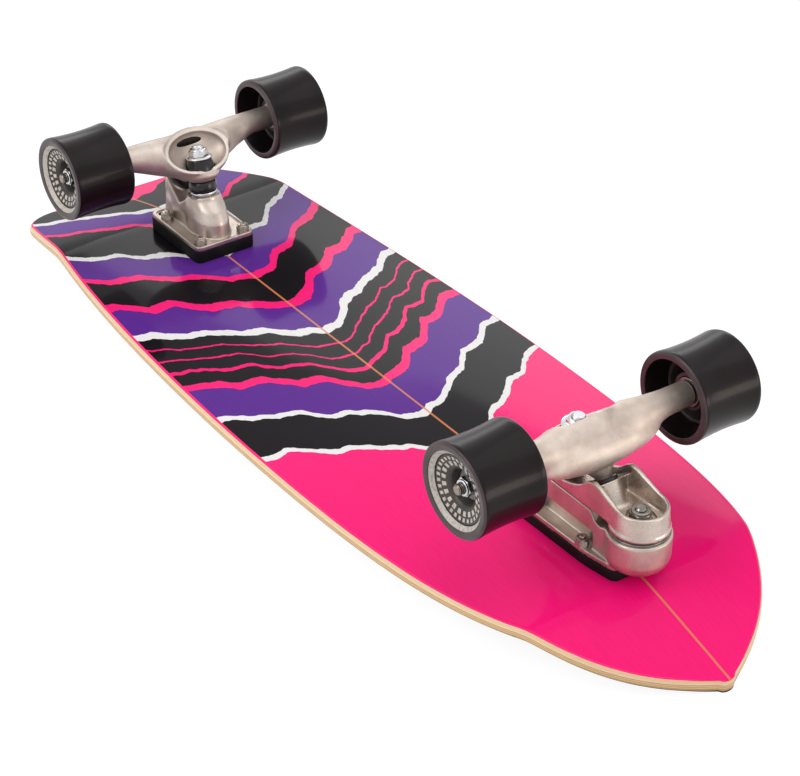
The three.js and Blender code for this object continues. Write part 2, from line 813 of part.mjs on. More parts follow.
// From the front truck's frame, which looks backwards, to the arm's
function onArm(geometry) {
  return geometry.rotateZ(Math.PI).translate(-armPivotOffset, 0, frontAxleHeight - frontPlateZ);
}

const armDeckZ = wallTop + runningGap;
const armBottom = bossTop + thrustWasherHeight + thrustCageHeight + 3 * seatGap;

// Outline of the arm's rim from the nose to the tail: shares of the arm's length behind the
// pivot, and of its height above the base
const armSideShares = [[-0.3, 0.62], [0, 0.62], [0.14, 0.8], [0.25, 0.96], [0.32, 1], [0.37, 0.92],
  [0.46, 0.58], [0.58, 0.37], [0.66, 0.29], [1.1, 0.24]];

function armPlan(z0, z1) {
  const shape = new THREE.Shape();
  const tailX = armTailX + armTailRadius;
  const tailY = armHalfWidth - armTailRadius;
  shape.absarc(0, 0, armRimRadius, -Math.PI / 2, Math.PI / 2);
  shape.absarc(tailX, tailY, armTailRadius, Math.PI / 2, Math.PI);
  shape.absarc(tailX, -tailY, armTailRadius, Math.PI, 1.5 * Math.PI);
  return new THREE.ExtrudeGeometry(shape, { depth: z1 - z0, bevelEnabled: false, curveSegments: 5 })
    .translate(0, 0, z0);
}

function armBody() {
  const side = places(armSideShares, armTailX, armRidgeZ - armDeckZ, 0, armDeckZ);
  const profile = [...side, [armTailX - overrun, armDeckZ], [overrun, armDeckZ]];
  const beam = common(armPlan(armDeckZ, armRidgeZ), sideProfile(profile, overrun));
  const foot = armBottom + armFootHeight;
  const boss = turned([[0, armBottom], [armFootRadius, armBottom], [armFootRadius, foot],
    [armBodyRadius, foot], [armRimRadius, armRimZ], [0, armRimZ]], fineSteps);
  return join(beam, boss);
}

// The bowl over the arm's nut runs back to the wall of the pivot's socket, and a second pocket
// lies between that socket's mouth and the kingpin's seat
function armHollows() {
  const bowl = rod(armBowlRadius, armBowlFloor, overrun, fineSteps);
  const slot = slab(plan(armSlotTailX, 0, armSlotHalfWidth, armBowlRadius), armSlotCorner, armBowlFloor,
    overrun);
  const beforeSocket = onArm(onPivot(box(-2 * overrun, -pivotCupRadius - socketWall, -overrun, overrun,
    -overrun, overrun)));
  const overMouth = onArm(onPivot(layer(pivotRim, overrun)));
  const pocket = box(armPocketTailX, armPocketNoseX, -armSlotHalfWidth, armSlotHalfWidth, armPocketFloor,
    overrun);
  const overSeat = onArm(onKingpin(rod(cupWasherRadius + seatMargin, 0, overrun, fineSteps)));
  return [common(join(bowl, slot), beforeSocket), common(overMouth, pocket), overSeat];
}

function swingArm() {
  const clear = layer(armDeckZ, overrun);
  const seatRod = rod(cupWasherRadius + seatMargin, -overrun, 0, fineSteps);
  const seatBoss = common(onArm(onKingpin(seatRod)), clear);
  const socketRod = rod(pivotCupRadius + socketWall, -overrun, pivotRim, fineSteps);
  const socketBoss = common(onArm(onPivot(socketRod)), clear);
  const spigot = rod(spigotRadius, spigotBottom, armBottom + armFootHeight, fineSteps);
  const pinHole = onArm(onKingpin(rod(kingpinRadius + fitGap, -overrun, overrun, middleSteps)));
  const headPocket = onArm(onKingpin(rod(armHeadRadius + fitGap, -overrun,
    armHeadBottom + armHeadHeight + seatGap, middleSteps)));
  const boltHole = rod(armBoltRadius + fitGap, -overrun, overrun, coarseSteps);
  return cut(join(cut(armBody(), ...armHollows()), seatBoss, socketBoss, spigot), onArm(socketBore()),
    pinHole, headPocket, boltHole, cupNotch());
}

// The V-shaped notch in the spigot's tail side, which the spring's cup centres
function cupNotch() {
  const shape = new THREE.Shape();
  const apexX = notchDepth - spigotRadius;
  shape.moveTo(apexX, 0);
  shape.lineTo(apexX - overrun, overrun);
  shape.lineTo(apexX - overrun, -overrun);
  return new THREE.ExtrudeGeometry(shape, { depth: 2 * channelRadius, bevelEnabled: false })
    .translate(0, 0, channelZ - channelRadius);
}

// Thrust bearing, bolt and nut of the arm

function thrustCage() {
  const bottom = bossTop + thrustWasherHeight + 2 * seatGap;
  const top = bottom + thrustCageHeight;
  const middle = (bottom + top) / 2;
  return turnedRing([[thrustInnerRadius, bottom], [thrustRadius, bottom],
    [thrustRadius - thrustGroove, middle], [thrustRadius, top], [thrustInnerRadius, top]], fineSteps);
}

function armBolt() {
  const top = armBowlFloor + armNutFlangeHeight + armNutHeight + nutCollarHeight;
  return join(rod(armBoltRadius, seatGap, top, coarseSteps),
    rod(armBoltHeadRadius, seatGap, armBoltHeadHeight, hexSides));
}

function armNut() {
  const bottom = armBowlFloor + seatGap;
  const hexBottom = bottom + armNutFlangeHeight;
  const top = hexBottom + armNutHeight;
  const body = join(rod(armNutFlangeRadius, bottom, hexBottom, middleSteps),
    rod(armNutRadius, bottom, top - nutCollarHeight, hexSides),
    rod(nutCollarShare * armNutRadius, bottom, top, coarseSteps));
  return cut(body, rod(armBoltRadius + fitGap, 0, overrun, coarseSteps));
}

// Return spring, its cup and its adjuster: built along Z, then laid in the channel

function springHelix() {
  const start = springWireRadius + fitGap;
  const pitch = (springLength - 2 * start) / springTurns;
  const slope = Math.atan2(pitch, 2 * Math.PI * springRadius);
  const rings = [];
  const spine = [];
  for (let i = 0; i <= springTurns * springSteps; i += 1) {
    const angle = 2 * Math.PI * i / springSteps;
    const z = start + pitch * i / springSteps;
    const [cos, sin] = [Math.cos(angle), Math.sin(angle)];
    spine.push(new THREE.Vector3(springRadius * cos, springRadius * sin, z));
    const points = [];
    for (let j = 0; j < wireSides; j += 1) {
      const turn = 2 * Math.PI * j / wireSides;
      const out = springRadius + springWireRadius * Math.cos(turn);
      const across = springWireRadius * Math.sin(turn);
      const sideways = across * Math.sin(slope);
      points.push([out * cos + sideways * sin, out * sin - sideways * cos, z + across * Math.cos(slope)]);
    }
    rings.push(points);
  }
  let least = Infinity;
  spine.forEach((point, i) => spine.slice(i + springSteps / 2).forEach((other) => {
    least = Math.min(least, point.distanceTo(other) - 2 * springWireRadius);
  }));
  console.log(`return spring: least gap to itself ${least.toFixed(2)} mm`);
  return lofted(rings);
}

const springGuideRadius = springRadius - springWireRadius - 2 * fitGap;

function springCup() {
  const cone = springCupRadius + springCupHeight;
  return turned([[0, -cone], [springCupRadius, -springCupHeight], [springCupRadius, 0],
    [springGuideRadius + fitGap, 0], [springGuideRadius, springGuideLength],
    [0, springGuideLength]], middleSteps);
}

function springAdjuster() {
  const radius = channelRadius - fitGap;
  const end = springLength + plugLength;
  const plug = turned([[0, springLength - springGuideLength],
    [springGuideRadius, springLength - springGuideLength], [springGuideRadius + fitGap, springLength],
    [radius, springLength], [radius, end], [0, end]], middleSteps);
  return cut(plug, rod(plugSocketRadius, end - plugSocketDepth, end + overrun, hexSides));
}

function springParts() {
  const group = grouped(
    springStartX, 0, channelZ,
    node('return_spring', springHelix(), 'steel'),
    node('spring_cup', springCup(), 'bushing'),
    node('spring_adjuster', springAdjuster(), 'zinc'),
  );
  group.rotation.y = -Math.PI / 2;
  return group;
}

function frontBaseParts() {
  const washer = tube(thrustInnerRadius, thrustRadius, bossTop + seatGap,
    bossTop + seatGap + thrustWasherHeight, fineSteps);
  return grouped(
    armPivotX, 0, deckTop + frontPlateZ,
    node('front_base', frontBase(), 'casting'),
    node('swing_arm', swingArm(), 'casting'),
    node('arm_pivot_bolt', armBolt(), 'zinc'),
    node('arm_pivot_nut', armNut(), 'zinc'),
    node('thrust_washer', washer, 'steel'),
    node('thrust_bearing', thrustCage(), 'steel'),
    springParts(),
  );
}

// Wheels, along Z: heights count outwards from the board's middle line

const wheelOuter = wheelTrack / 2;
const wheelInner = wheelOuter - wheelWidth;
const bearingInner = hangerWidth / 2 + runningGap;
const bearingOuter = bearingInner + bearingSpan;
const coreInner = bearingInner + runningGap;
const coreOuter = wheelOuter - coreDepth;
const webBackZ = bearingOuter - bearingWidth;

// Shares of the wheel's radius and width, from the inner lip round the tread to the outer lip
const tyreShares = [[0.84, 0], [0.95, 0], [0.985, 0.02], [1, 0.07], [0.974, 0.27], [0.965, 0.5],
  [0.974, 0.73], [1, 0.93], [0.985, 0.98], [0.95, 1], [0.82, 1]];

function tyre() {
  const bore = coreRadius + fitGap;
  const tread = places(tyreShares, wheelRadius, wheelWidth, 0, wheelInner);
  return turnedRing([[bore, coreInner + coreWall], ...tread, [bore, coreOuter]], fineSteps);
}

// The core: a tube round the bearings and a dished face that carries the tyre
function wheelCore() {
  const seat = bearingRadius + fitGap;
  const ledge = shieldRadius + runningGap;
  const innerLedge = bearingInner + bearingWidth + fitGap;
  const outerLedge = bearingOuter - bearingWidth - fitGap;
  const rimInner = coreRadius - coreWall;
  return turnedRing([[seat, coreInner], [hubRadius, coreInner], [hubRadius, webBackZ],
    [rimInner, webBackZ], [rimInner, coreInner + coreWall], [coreRadius, coreInner + coreWall],
    [coreRadius, coreOuter], [coreWellRadius, coreOuter - coreDish], [seat, bearingOuter + fitGap],
    [seat, outerLedge], [ledge, outerLedge], [ledge, innerLedge], [seat, innerLedge]], middleSteps);
}

function bearing(bottom) {
  const top = bottom + bearingWidth;
  const bore = axleRadius + fitGap;
  return turnedRing([[bore, bottom], [bearingRadius, bottom], [bearingRadius, top], [shieldRadius, top],
    [shieldRadius - shieldDip, top - shieldDip], [bore, top - shieldDip]], coarseSteps);
}

function wheelParts(name, side, x, z) {
  const nutZ = bearingOuter + runningGap;
  const group = grouped(
    x, 0, z,
    node(`${name}_tyre`, tyre(), 'urethane'),
    node(`${name}_core`, wheelCore(), 'core'),
    node(`${name}_bearing_inner`, bearing(bearingInner), 'steel'),
    node(`${name}_bearing_outer`, bearing(bearingOuter - bearingWidth), 'steel'),
    node(`${name}_axle_nut`, lockNut(axleRadius, axleNutRadius, nutZ, axleNutHeight), 'steel'),
  );
  group.rotation.x = side * Math.PI / 2;
  return group;
}

// Both trucks share the hanger with all that is fastened to it

function truckParts(truck, x, height, facing) {
  const z = deckTop + height;
  const middle = grouped(
    x, 0, z,
    node(`${truck}_hanger`, hanger(), 'casting'),
    node(`${truck}_axle`, axle(), 'axle'),
    kingpinParts(truck),
    pivotParts(truck),
  );
  middle.rotation.z = facing;
  return [middle, wheelParts(`${truck}_left`, 1, x, z), wheelParts(`${truck}_right`, -1, x, z)];
}

const skateboard = grouped(
  0, 0, 0,
  ...deckParts(),
  ...riserParts(),
  ...boltPlaces.map(mountingBolt),
  grouped(rearAxleX, 0, deckTop + rearAxleHeight, node('rear_baseplate', rearBase(), 'casting')),
  frontBaseParts(),
  ...truckParts('rear', rearAxleX, rearAxleHeight, 0),
  ...truckParts('front', frontAxleX, frontAxleHeight, Math.PI),
);
skateboard.name = 'surf_skateboard';
skateboard.updateMatrixWorld(true);

export default skateboard;
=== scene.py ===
"""Looks of the surf skateboard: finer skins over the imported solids, materials, light and camera."""
import math

import bpy
import numpy as np
from mathutils import Matrix, Vector

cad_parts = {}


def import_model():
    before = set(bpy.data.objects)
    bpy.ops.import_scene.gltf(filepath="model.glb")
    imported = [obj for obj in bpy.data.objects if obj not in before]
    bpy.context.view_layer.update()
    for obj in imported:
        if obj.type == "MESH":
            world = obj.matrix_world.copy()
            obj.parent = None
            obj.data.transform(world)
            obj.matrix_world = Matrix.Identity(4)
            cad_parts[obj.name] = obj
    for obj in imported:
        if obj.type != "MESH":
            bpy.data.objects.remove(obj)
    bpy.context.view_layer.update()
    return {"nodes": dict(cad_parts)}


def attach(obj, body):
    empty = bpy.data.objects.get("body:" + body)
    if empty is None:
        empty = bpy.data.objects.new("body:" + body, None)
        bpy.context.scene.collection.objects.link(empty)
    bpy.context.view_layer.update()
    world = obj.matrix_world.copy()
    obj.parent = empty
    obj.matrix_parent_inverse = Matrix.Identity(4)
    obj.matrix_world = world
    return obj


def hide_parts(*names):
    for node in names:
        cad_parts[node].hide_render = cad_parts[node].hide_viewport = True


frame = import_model()


# Sizes in millimetres, as in the solids

HALF_LENGTH = 405.5
HALF_WIDTH = 134.5
DECK_THICKNESS = 9.2
GRIP_THICKNESS = 0.8
KICK_DROP = 26.5
NOSE_KICK = (95, 8)
TAIL_KICK = (114, 18)
CONCAVE_DEPTH = 6.5
CONCAVE_REACH = 310
FLAT_HALF_WIDTH = 30
DECK_TOP = KICK_DROP + DECK_THICKNESS + GRIP_THICKNESS
SEAT_GAP = 0.05
FIT_GAP = 0.3
RUNNING_GAP = 0.6
OVERRUN = 60

AXLE_X = {"front": 257.5, "rear": -272.5}
AXLE_HEIGHT = {"front": 88, "rear": 82}
AXLE_RADIUS = 4
ARM_PIVOT_X = 307.5
ARM_TO_AXLE = AXLE_X["front"] - ARM_PIVOT_X
REAR_PLATE_Z = 11.1
FRONT_PLATE_Z = 8.6

KINGPIN_RADIUS = 4.8
KINGPIN_TOP = 42.5
KINGPIN_TILT = math.radians(11)
SEAT = (25.8, -38)
PIVOT = (-13.5, -35.5)
PIVOT_TILT = math.radians(37)
WINDOW = (18.5, -1)
WINDOW_TILT = math.radians(38)
RING_TOP = 20.5

FINE = 72
MIDDLE = 48
AROUND = np.linspace(0, 2 * math.pi, 64, endpoint=False)


# Meshes: points in millimetres, kept in metres

def mesh_object(name, points, faces):
    mesh = bpy.data.meshes.new(name)
    mesh.from_pydata([Vector(p) / 1000 for p in points], [], faces)
    mesh.update()
    obj = bpy.data.objects.new(name, mesh)
    bpy.context.scene.collection.objects.link(obj)
    return obj


def turned(profile, steps=FINE, ring=False):
    """A body turned about Z from [radius, height] points, from the axis up or as a closed ring."""
    points, rows = [], []
    for radius, height in profile:
        if radius == 0:
            rows.append([len(points)] * steps)
            points.append((0, 0, height))
            continue
        rows.append(range(len(points), len(points) + steps))
        for i in range(steps):
            angle = 2 * math.pi * i / steps
            points.append((radius * math.cos(angle), radius * math.sin(angle), height))
    faces = []
    for low, high in zip(rows, rows[1:] + ([rows[0]] if ring else [])):
        for i in range(steps):
            j = (i + 1) % steps
            face = list(dict.fromkeys([low[i], low[j], high[j], high[i]]))
            if len(face) > 2:
                faces.append(face)
    return mesh_object("turned", points, faces)


def rounded(profile, radius, steps=4, ring=False):
    """The profile with its corners rounded. The ends of an open one stay as they are."""
    result = []
    count = len(profile)
    for i, (x, y) in enumerate(profile):
        if not ring and i in (0, count - 1):
            result.append((x, y))
            continue
        before, after = profile[i - 1], profile[(i + 1) % count]
        here = Vector((x, y))
        a, b = Vector(before) - here, Vector(after) - here
        share = min(radius, a.length * 0.45, b.length * 0.45)
        start, end = here + a.normalized() * share, here + b.normalized() * share
        for k in range(steps + 1):
            t = k / steps
            result.append(tuple(start.lerp(here, t).lerp(here.lerp(end, t), t)))
    return result


def rod(radius, bottom, top, steps=FINE):
    return turned([(0, bottom), (radius, bottom), (radius, top), (0, top)], steps)


BOX_FACES = [(0, 1, 3, 2), (4, 6, 7, 5), (0, 4, 5, 1), (2, 3, 7, 6), (0, 2, 6, 4), (1, 5, 7, 3)]


def box(x0, x1, y0, y1, z0, z1):
    points = [(x, y, z) for x in (x0, x1) for y in (y0, y1) for z in (z0, z1)]
    return mesh_object("box", points, BOX_FACES)


def layer(z0, z1):
    return box(-2 * OVERRUN, 2 * OVERRUN, -OVERRUN, OVERRUN, z0, z1)


def prism(outline, z0, z1):
    count = len(outline)
    points = [(x, y, z0) for x, y in outline] + [(x, y, z1) for x, y in outline]
    faces = [tuple(reversed(range(count))), tuple(range(count, 2 * count))]
    for i in range(count):
        j = (i + 1) % count
        faces.append((i, j, count + j, count + i))
    return mesh_object("prism", points, faces)


def side_profile(profile, half):
    """A profile of [x, z], drawn out across the board."""
    return place(prism(profile, -half, half), Matrix.Rotation(math.pi / 2, 4, "X"))


def lofted(rings):
    size = len(rings[0])
    faces = []
    for i in range(len(rings) - 1):
        for j in range(size):
            k = (j + 1) % size
            a, b = i * size + j, i * size + k
            faces.append((a, a + size, b + size, b))
    last = (len(rings) - 1) * size
    faces += [tuple(range(size)), tuple(last + j for j in reversed(range(size)))]
    return mesh_object("loft", [p for ring in rings for p in ring], faces)


def ellipsoid(rx, ry, rz):
    rows = 32
    profile = [(math.sin(math.pi * i / rows), -math.cos(math.pi * i / rows)) for i in range(rows + 1)]
    profile[0], profile[-1] = (0, -1), (0, 1)
    return place(turned(profile, 64), Matrix.Diagonal((rx, ry, rz, 1)))


def place(obj, *matrices):
    for matrix in matrices:
        obj.data.transform(matrix)
    return obj


def shift(x, y, z):
    return Matrix.Translation(Vector((x, y, z)) / 1000)


def turn(angle, axis):
    return Matrix.Rotation(angle, 4, axis)


def settle(obj):
    """Applies the modifiers of obj."""
    graph = bpy.context.evaluated_depsgraph_get()
    mesh = bpy.data.meshes.new_from_object(obj.evaluated_get(graph))
    obj.modifiers.clear()
    old, obj.data = obj.data, mesh
    bpy.data.meshes.remove(old)


def combine(operation, first, tools):
    for tool in tools:
        modifier = first.modifiers.new("combine", "BOOLEAN")
        modifier.operation = operation
        modifier.solver = "MANIFOLD"
        modifier.object = tool
    settle(first)
    for tool in tools:
        mesh = tool.data
        bpy.data.objects.remove(tool)
        bpy.data.meshes.remove(mesh)
    return first


def join(first, *rest):
    return combine("UNION", first, rest)


def cut(first, *tools):
    return combine("DIFFERENCE", first, tools)


def common(first, *tools):
    return combine("INTERSECT", first, tools)


def smooth(obj, degrees):
    obj.data.shade_smooth()
    obj.data.set_sharp_from_angle(angle=math.radians(degrees))
    return obj


def cast(obj, voxel, rounds):
    """Evens out a body and rounds its edges, as a mould and tumbling do."""
    remesh = obj.modifiers.new("remesh", "REMESH")
    remesh.mode = "VOXEL"
    remesh.voxel_size = voxel / 1000
    remesh.use_smooth_shade = True
    soften = obj.modifiers.new("soften", "SMOOTH")
    soften.factor = 0.5
    soften.iterations = rounds
    settle(obj)
    obj.data.shade_smooth()
    return obj


def bevelled(obj, width):
    bevel = obj.modifiers.new("bevel", "BEVEL")
    bevel.width = width / 1000
    bevel.segments = 3
    bevel.limit_method = "ANGLE"
    bevel.angle_limit = math.radians(40)
    settle(obj)
    return smooth(obj, 40)


def piece(obj, name, body, material, slot, *nodes):
    obj.name = name
    obj.data.name = name
    if not isinstance(material, list):
        obj.data.materials.clear()
        material = [material]
    for one in material:
        obj.data.materials.append(one)
    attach(obj, body)
    if nodes:
        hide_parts(*nodes)


# Materials

class Shader:
    """A node material that is built with few words."""

    def __init__(self, name):
        self.material = bpy.data.materials.new(name)
        self.material.use_nodes = True
        self.tree = self.material.node_tree
        self.surface = self.tree.nodes["Principled BSDF"]
        self.place = self.add("ShaderNodeTexCoord").outputs["Object"]

    def add(self, kind, **settings):
        node = self.tree.nodes.new(kind)
        for key, value in settings.items():
            setattr(node, key, value)
        return node

    def put(self, socket, value):
        if isinstance(value, bpy.types.NodeSocket):
            self.tree.links.new(value, socket)
        elif isinstance(value, tuple) and len(value) == 3 and socket.type == "RGBA":
            socket.default_value = (*value, 1)
        else:
            socket.default_value = value

    def fill(self, node, **values):
        """Sets or links inputs by their names, with _ for each space."""
        for key, value in values.items():
            self.put(node.inputs[key.replace("_", " ")], value)
        return node

    def set(self, **values):
        self.fill(self.surface, **values)
        return self

    def math(self, operation, *values):
        node = self.add("ShaderNodeMath", operation=operation)
        for socket, value in zip(node.inputs, values):
            self.put(socket, value)
        return node.outputs[0]

    def noise(self, scale, detail=3.0, place=None):
        node = self.add("ShaderNodeTexNoise")
        return self.fill(node, Vector=place or self.place, Scale=scale, Detail=detail).outputs["Fac"]

    def with_place(self, operation, vector):
        node = self.add("ShaderNodeVectorMath", operation=operation)
        self.put(node.inputs[0], self.place)
        self.put(node.inputs[1], vector)
        return node

    def stretched(self, x, y, z):
        return self.with_place("MULTIPLY", (x, y, z)).outputs[0]

    def dot(self, direction, offset=0.0):
        return self.math("SUBTRACT", self.with_place("DOT_PRODUCT", direction).outputs["Value"], offset)

    def ramp(self, value, stops, mode="LINEAR"):
        node = self.add("ShaderNodeValToRGB")
        node.color_ramp.interpolation = mode
        elements = node.color_ramp.elements
        while len(elements) < len(stops):
            elements.new(1)
        for element, (position, color) in zip(elements, stops):
            element.position = position
            element.color = (*color, 1) if isinstance(color, tuple) else (color, color, color, 1)
        self.put(node.inputs["Fac"], value)
        return node.outputs["Color"]

    def mix(self, share, a, b):
        node = self.add("ShaderNodeMix", data_type="RGBA")
        self.put(node.inputs["Factor"], share)
        self.put(node.inputs[6], a)
        self.put(node.inputs[7], b)
        return node.outputs[2]

    def multiply(self, a, b):
        color = self.mix(1.0, a, b)
        color.node.blend_type = "MULTIPLY"
        return color

    def range(self, value, low, high, to_low, to_high):
        node = self.add("ShaderNodeMapRange")
        for socket, number in zip(node.inputs, (value, low, high, to_low, to_high)):
            self.put(socket, number)
        return node.outputs[0]

    def within(self, value, half):
        """1 where value is nearer to 0 than half."""
        return self.math("LESS_THAN", self.math("ABSOLUTE", value), half)

    def bump(self, height, distance, strength=1.0):
        node = self.add("ShaderNodeBump")
        self.fill(node, Height=height, Distance=distance, Strength=strength)
        return self.set(Normal=node.outputs[0])


def metal(name, light, dark, roughness, grain=0.00004, scale=900.0):
    shader = Shader(name)
    cloud = shader.noise(70.0, 4.0)
    fine = shader.noise(scale, 3.0)
    color = shader.ramp(cloud, [(0.35, dark), (0.65, light)])
    rough = shader.range(fine, 0.3, 0.7, roughness * 0.8, roughness * 1.25)
    return shader.set(Base_Color=color, Metallic=1.0, Roughness=rough).bump(fine, grain).material


def cast_metal(name, rims, tone, polish):
    """Tumbled casting. Each rim of (frame, half sizes) is an ellipse that is worn bright."""
    shader = Shader(name)
    cloud = shader.noise(55.0, 5.0)
    pits = shader.noise(1100.0, 4.0)
    shades = [(0.3, (0.42, 0.35, 0.305)), (0.55, (0.54, 0.465, 0.41)), (0.75, (0.62, 0.55, 0.495))]
    base = shader.ramp(cloud, [(stop, tuple(tone * c for c in color)) for stop, color in shades])
    speck = shader.ramp(pits, [(0.3, 0.84), (0.5, 1.0)])
    color = shader.multiply(base, speck)
    worn = 0.0
    for matrix, half_sizes in rims:
        away = [shader.dot(*plane(matrix, axis, (0, 0, 0))) for axis in ((1, 0, 0), (0, 1, 0), (0, 0, 1))]
        squares = [shader.math("POWER", shader.math("DIVIDE", distance, half / 1000), 2.0)
                   for distance, half in zip(away, half_sizes)]
        on_ellipse = shader.within(shader.math("SUBTRACT", shader.math("ADD", *squares), 1.0), 0.16)
        in_plane = shader.within(away[2], 0.0011)
        worn = shader.math("MAXIMUM", worn, shader.math("MULTIPLY", on_ellipse, in_plane))
    color = shader.mix(shader.math("MULTIPLY", worn, 0.6), color, (0.72, 0.67, 0.62))
    rough = shader.range(pits, 0.3, 0.7, 0.36 * polish, 0.52 * polish)
    return shader.set(Base_Color=color, Metallic=0.88, Roughness=rough).bump(pits, 0.00014, 0.8).material


def thread_shader(name, axis, pitch, light, dark):
    """Plated steel with a thread about an axis, its grooves painted darker as shade."""
    shader = Shader(name)
    along = shader.dot(axis)
    wave = shader.math("PINGPONG", along, pitch / 2000)
    scratches = shader.noise(1200.0, 2.0)
    height = shader.math("MULTIPLY", wave, 1000 / pitch)
    # Painted shade: the darker colour fills the thread's grooves, and the lighter one its crests.
    color = shader.ramp(height, [(0.1, dark), (0.4, light)])
    rough = shader.range(scratches, 0.3, 0.7, 0.22, 0.36)
    return shader.set(Base_Color=color, Metallic=1.0, Roughness=rough).bump(height, 0.0004, 0.6)


def threaded(*settings):
    return thread_shader(*settings).material


def axle_metal():
    """Threaded at its bare ends, and dark with grease inside the hanger."""
    shader = thread_shader("axle_steel", (0, 1, 0), 1.2, (0.34, 0.29, 0.25), (0.12, 0.1, 0.09))
    inside = shader.within(shader.dot((0, 1, 0)), 0.07)
    bare = shader.surface.inputs["Base Color"].links[0].from_socket
    return shader.set(Base_Color=shader.mix(inside, bare, (0.02, 0.018, 0.016))).material


def rubber(name, color, roughness, coat=0.0, scale=800.0, depth=0.00006, specular=0.25):
    shader = Shader(name)
    fine = shader.noise(scale, 3.0)
    cloud = shader.noise(60.0, 3.0)
    light = tuple(c * 1.6 + 0.004 for c in color)
    rough = shader.range(fine, 0.3, 0.7, roughness * 0.85, roughness * 1.2)
    shader.set(Base_Color=shader.ramp(cloud, [(0.35, color), (0.7, light)]), Roughness=rough,
               Specular_IOR_Level=specular, Coat_Weight=coat, Coat_Roughness=0.15)
    return shader.bump(fine, depth).material


PINK = (1.0, 0.016, 0.2)
HOT = (1.0, 0.006, 0.19)
PALE = (1.0, 0.03, 0.22)
PURPLE = (0.11, 0.024, 0.28)
INK = (0.008, 0.006, 0.008)
PAPER = (0.86, 0.84, 0.84)
BANDED = (-0.42, 0.2)
LAST_BAND = 0.862


def lacquer():
    """Pink lacquer, with nested chevrons over the tail's two thirds."""
    shader = Shader("deck_lacquer")
    x = shader.dot((1, 0, 0))
    y = shader.dot((0, 1, 0))
    side = shader.math("ABSOLUTE", y)
    teeth = shader.math("MULTIPLY", shader.math("PINGPONG", side, 0.019), 0.3)
    torn = shader.math("MULTIPLY", shader.noise(1.0, 4.0, shader.stretched(9, 30, 1)), 0.03)
    chevron = shader.math("ADD", x, shader.math("MULTIPLY", side, 0.7))
    chevron = shader.math("SUBTRACT", shader.math("SUBTRACT", chevron, teeth), torn)
    share = shader.range(chevron, *BANDED, 0.0, 1.0)
    bands = shader.ramp(share, [
        (0.0, PINK), (0.06, INK), (0.125, PAPER), (0.137, PURPLE), (0.2, PINK), (0.214, INK), (0.3, PAPER),
        (0.311, PURPLE), (0.37, PINK), (0.384, INK), (0.45, PINK), (0.47, PURPLE), (0.535, PAPER),
        (0.547, INK), (0.575, HOT), (0.581, INK), (0.607, HOT), (0.613, INK), (0.639, HOT), (0.645, INK),
        (0.675, PINK), (0.69, PURPLE), (0.76, PAPER), (0.772, INK), (0.85, PAPER), (LAST_BAND, PINK)],
        "CONSTANT")
    plain = shader.ramp(shader.range(x, -0.1, 0.34, 0.0, 1.0), [(0.0, PALE), (0.45, PINK), (0.95, HOT)])
    color = shader.mix(shader.math("GREATER_THAN", share, LAST_BAND), bands, plain)
    stringer = shader.math("MULTIPLY", shader.within(y, 0.0009), 0.8)
    color = shader.mix(stringer, color, (0.75, 0.25, 0.1))
    veneer = shader.ramp(shader.noise(1.0, 3.0, shader.stretched(50, 700, 50)), [(0.35, 0.95), (0.6, 1.0)])
    color = shader.multiply(color, veneer)
    shader.set(Base_Color=color, Roughness=0.38, Specular_IOR_Level=0.02, Coat_Weight=0.34,
               Coat_Roughness=0.08, Coat_IOR=1.3)
    return shader.bump(shader.noise(22.0, 2.0), 0.0006, 0.12).material


def plywood():
    """Edge of the plies: the attribute runs from the lacquered face to the gripped one."""
    shader = Shader("deck_plies")
    depth = shader.add("ShaderNodeAttribute", attribute_name="ply").outputs["Fac"]
    wander = shader.noise(1.0, 3.0, shader.stretched(25, 25, 300))
    level = shader.math("ADD", depth, shader.math("MULTIPLY", wander, 0.05))
    plies = shader.ramp(level, [
        (0.0, PINK), (0.1, (0.86, 0.6, 0.36)), (0.3, (0.9, 0.68, 0.44)), (0.46, (0.3, 0.16, 0.07)),
        (0.5, (0.82, 0.53, 0.27)), (0.62, (0.5, 0.28, 0.12)), (0.66, (0.8, 0.52, 0.27)),
        (0.8, (0.34, 0.18, 0.08)), (0.84, (0.6, 0.38, 0.19)), (0.95, (0.03, 0.02, 0.015))], "CONSTANT")
    fibre = shader.noise(1.0, 4.0, shader.stretched(120, 120, 1600))
    color = shader.multiply(plies, shader.ramp(fibre, [(0.3, 0.88), (0.65, 1.0)]))
    shader.set(Base_Color=color, Roughness=0.45, Specular_IOR_Level=0.2, Coat_Weight=0.2,
               Coat_Roughness=0.3)
    return shader.bump(fibre, 0.00008).material


def grit():
    shader = Shader("grip_grit")
    grains = shader.fill(shader.add("ShaderNodeTexVoronoi"), Vector=shader.place, Scale=1500.0)
    height = grains.outputs["Distance"]
    color = shader.ramp(height, [(0.1, (0.05, 0.05, 0.052)), (0.5, (0.012, 0.012, 0.013))])
    return shader.set(Base_Color=color, Roughness=0.8).bump(height, 0.0003).material


def urethane():
    shader = Shader("wheel_urethane")
    cloud = shader.noise(30.0, 2.0)
    color = shader.ramp(cloud, [(0.3, (0.007, 0.005, 0.0055)), (0.7, (0.013, 0.008, 0.009))])
    shader.set(Base_Color=color, Roughness=0.3, Specular_IOR_Level=0.12, Coat_Weight=0.22,
               Coat_Roughness=0.1, Coat_IOR=1.25)
    return shader.bump(shader.noise(500.0, 3.0), 0.00001).material


def lip_urethane():
    """The wheel's thin edges, painted lighter and wine red: painted light coming through the urethane, and
    painted sheen.
    """
    shader = Shader("wheel_lip")
    cloud = shader.noise(80.0, 3.0)
    # Painted glow and sheen: these colours are several times lighter than the tread's urethane.
    color = shader.ramp(cloud, [(0.3, (0.045, 0.03, 0.033)), (0.7, (0.07, 0.047, 0.05))])
    shader.set(Base_Color=color, Roughness=0.3, Specular_IOR_Level=0.3)
    return shader.bump(shader.noise(700.0), 0.00002).material


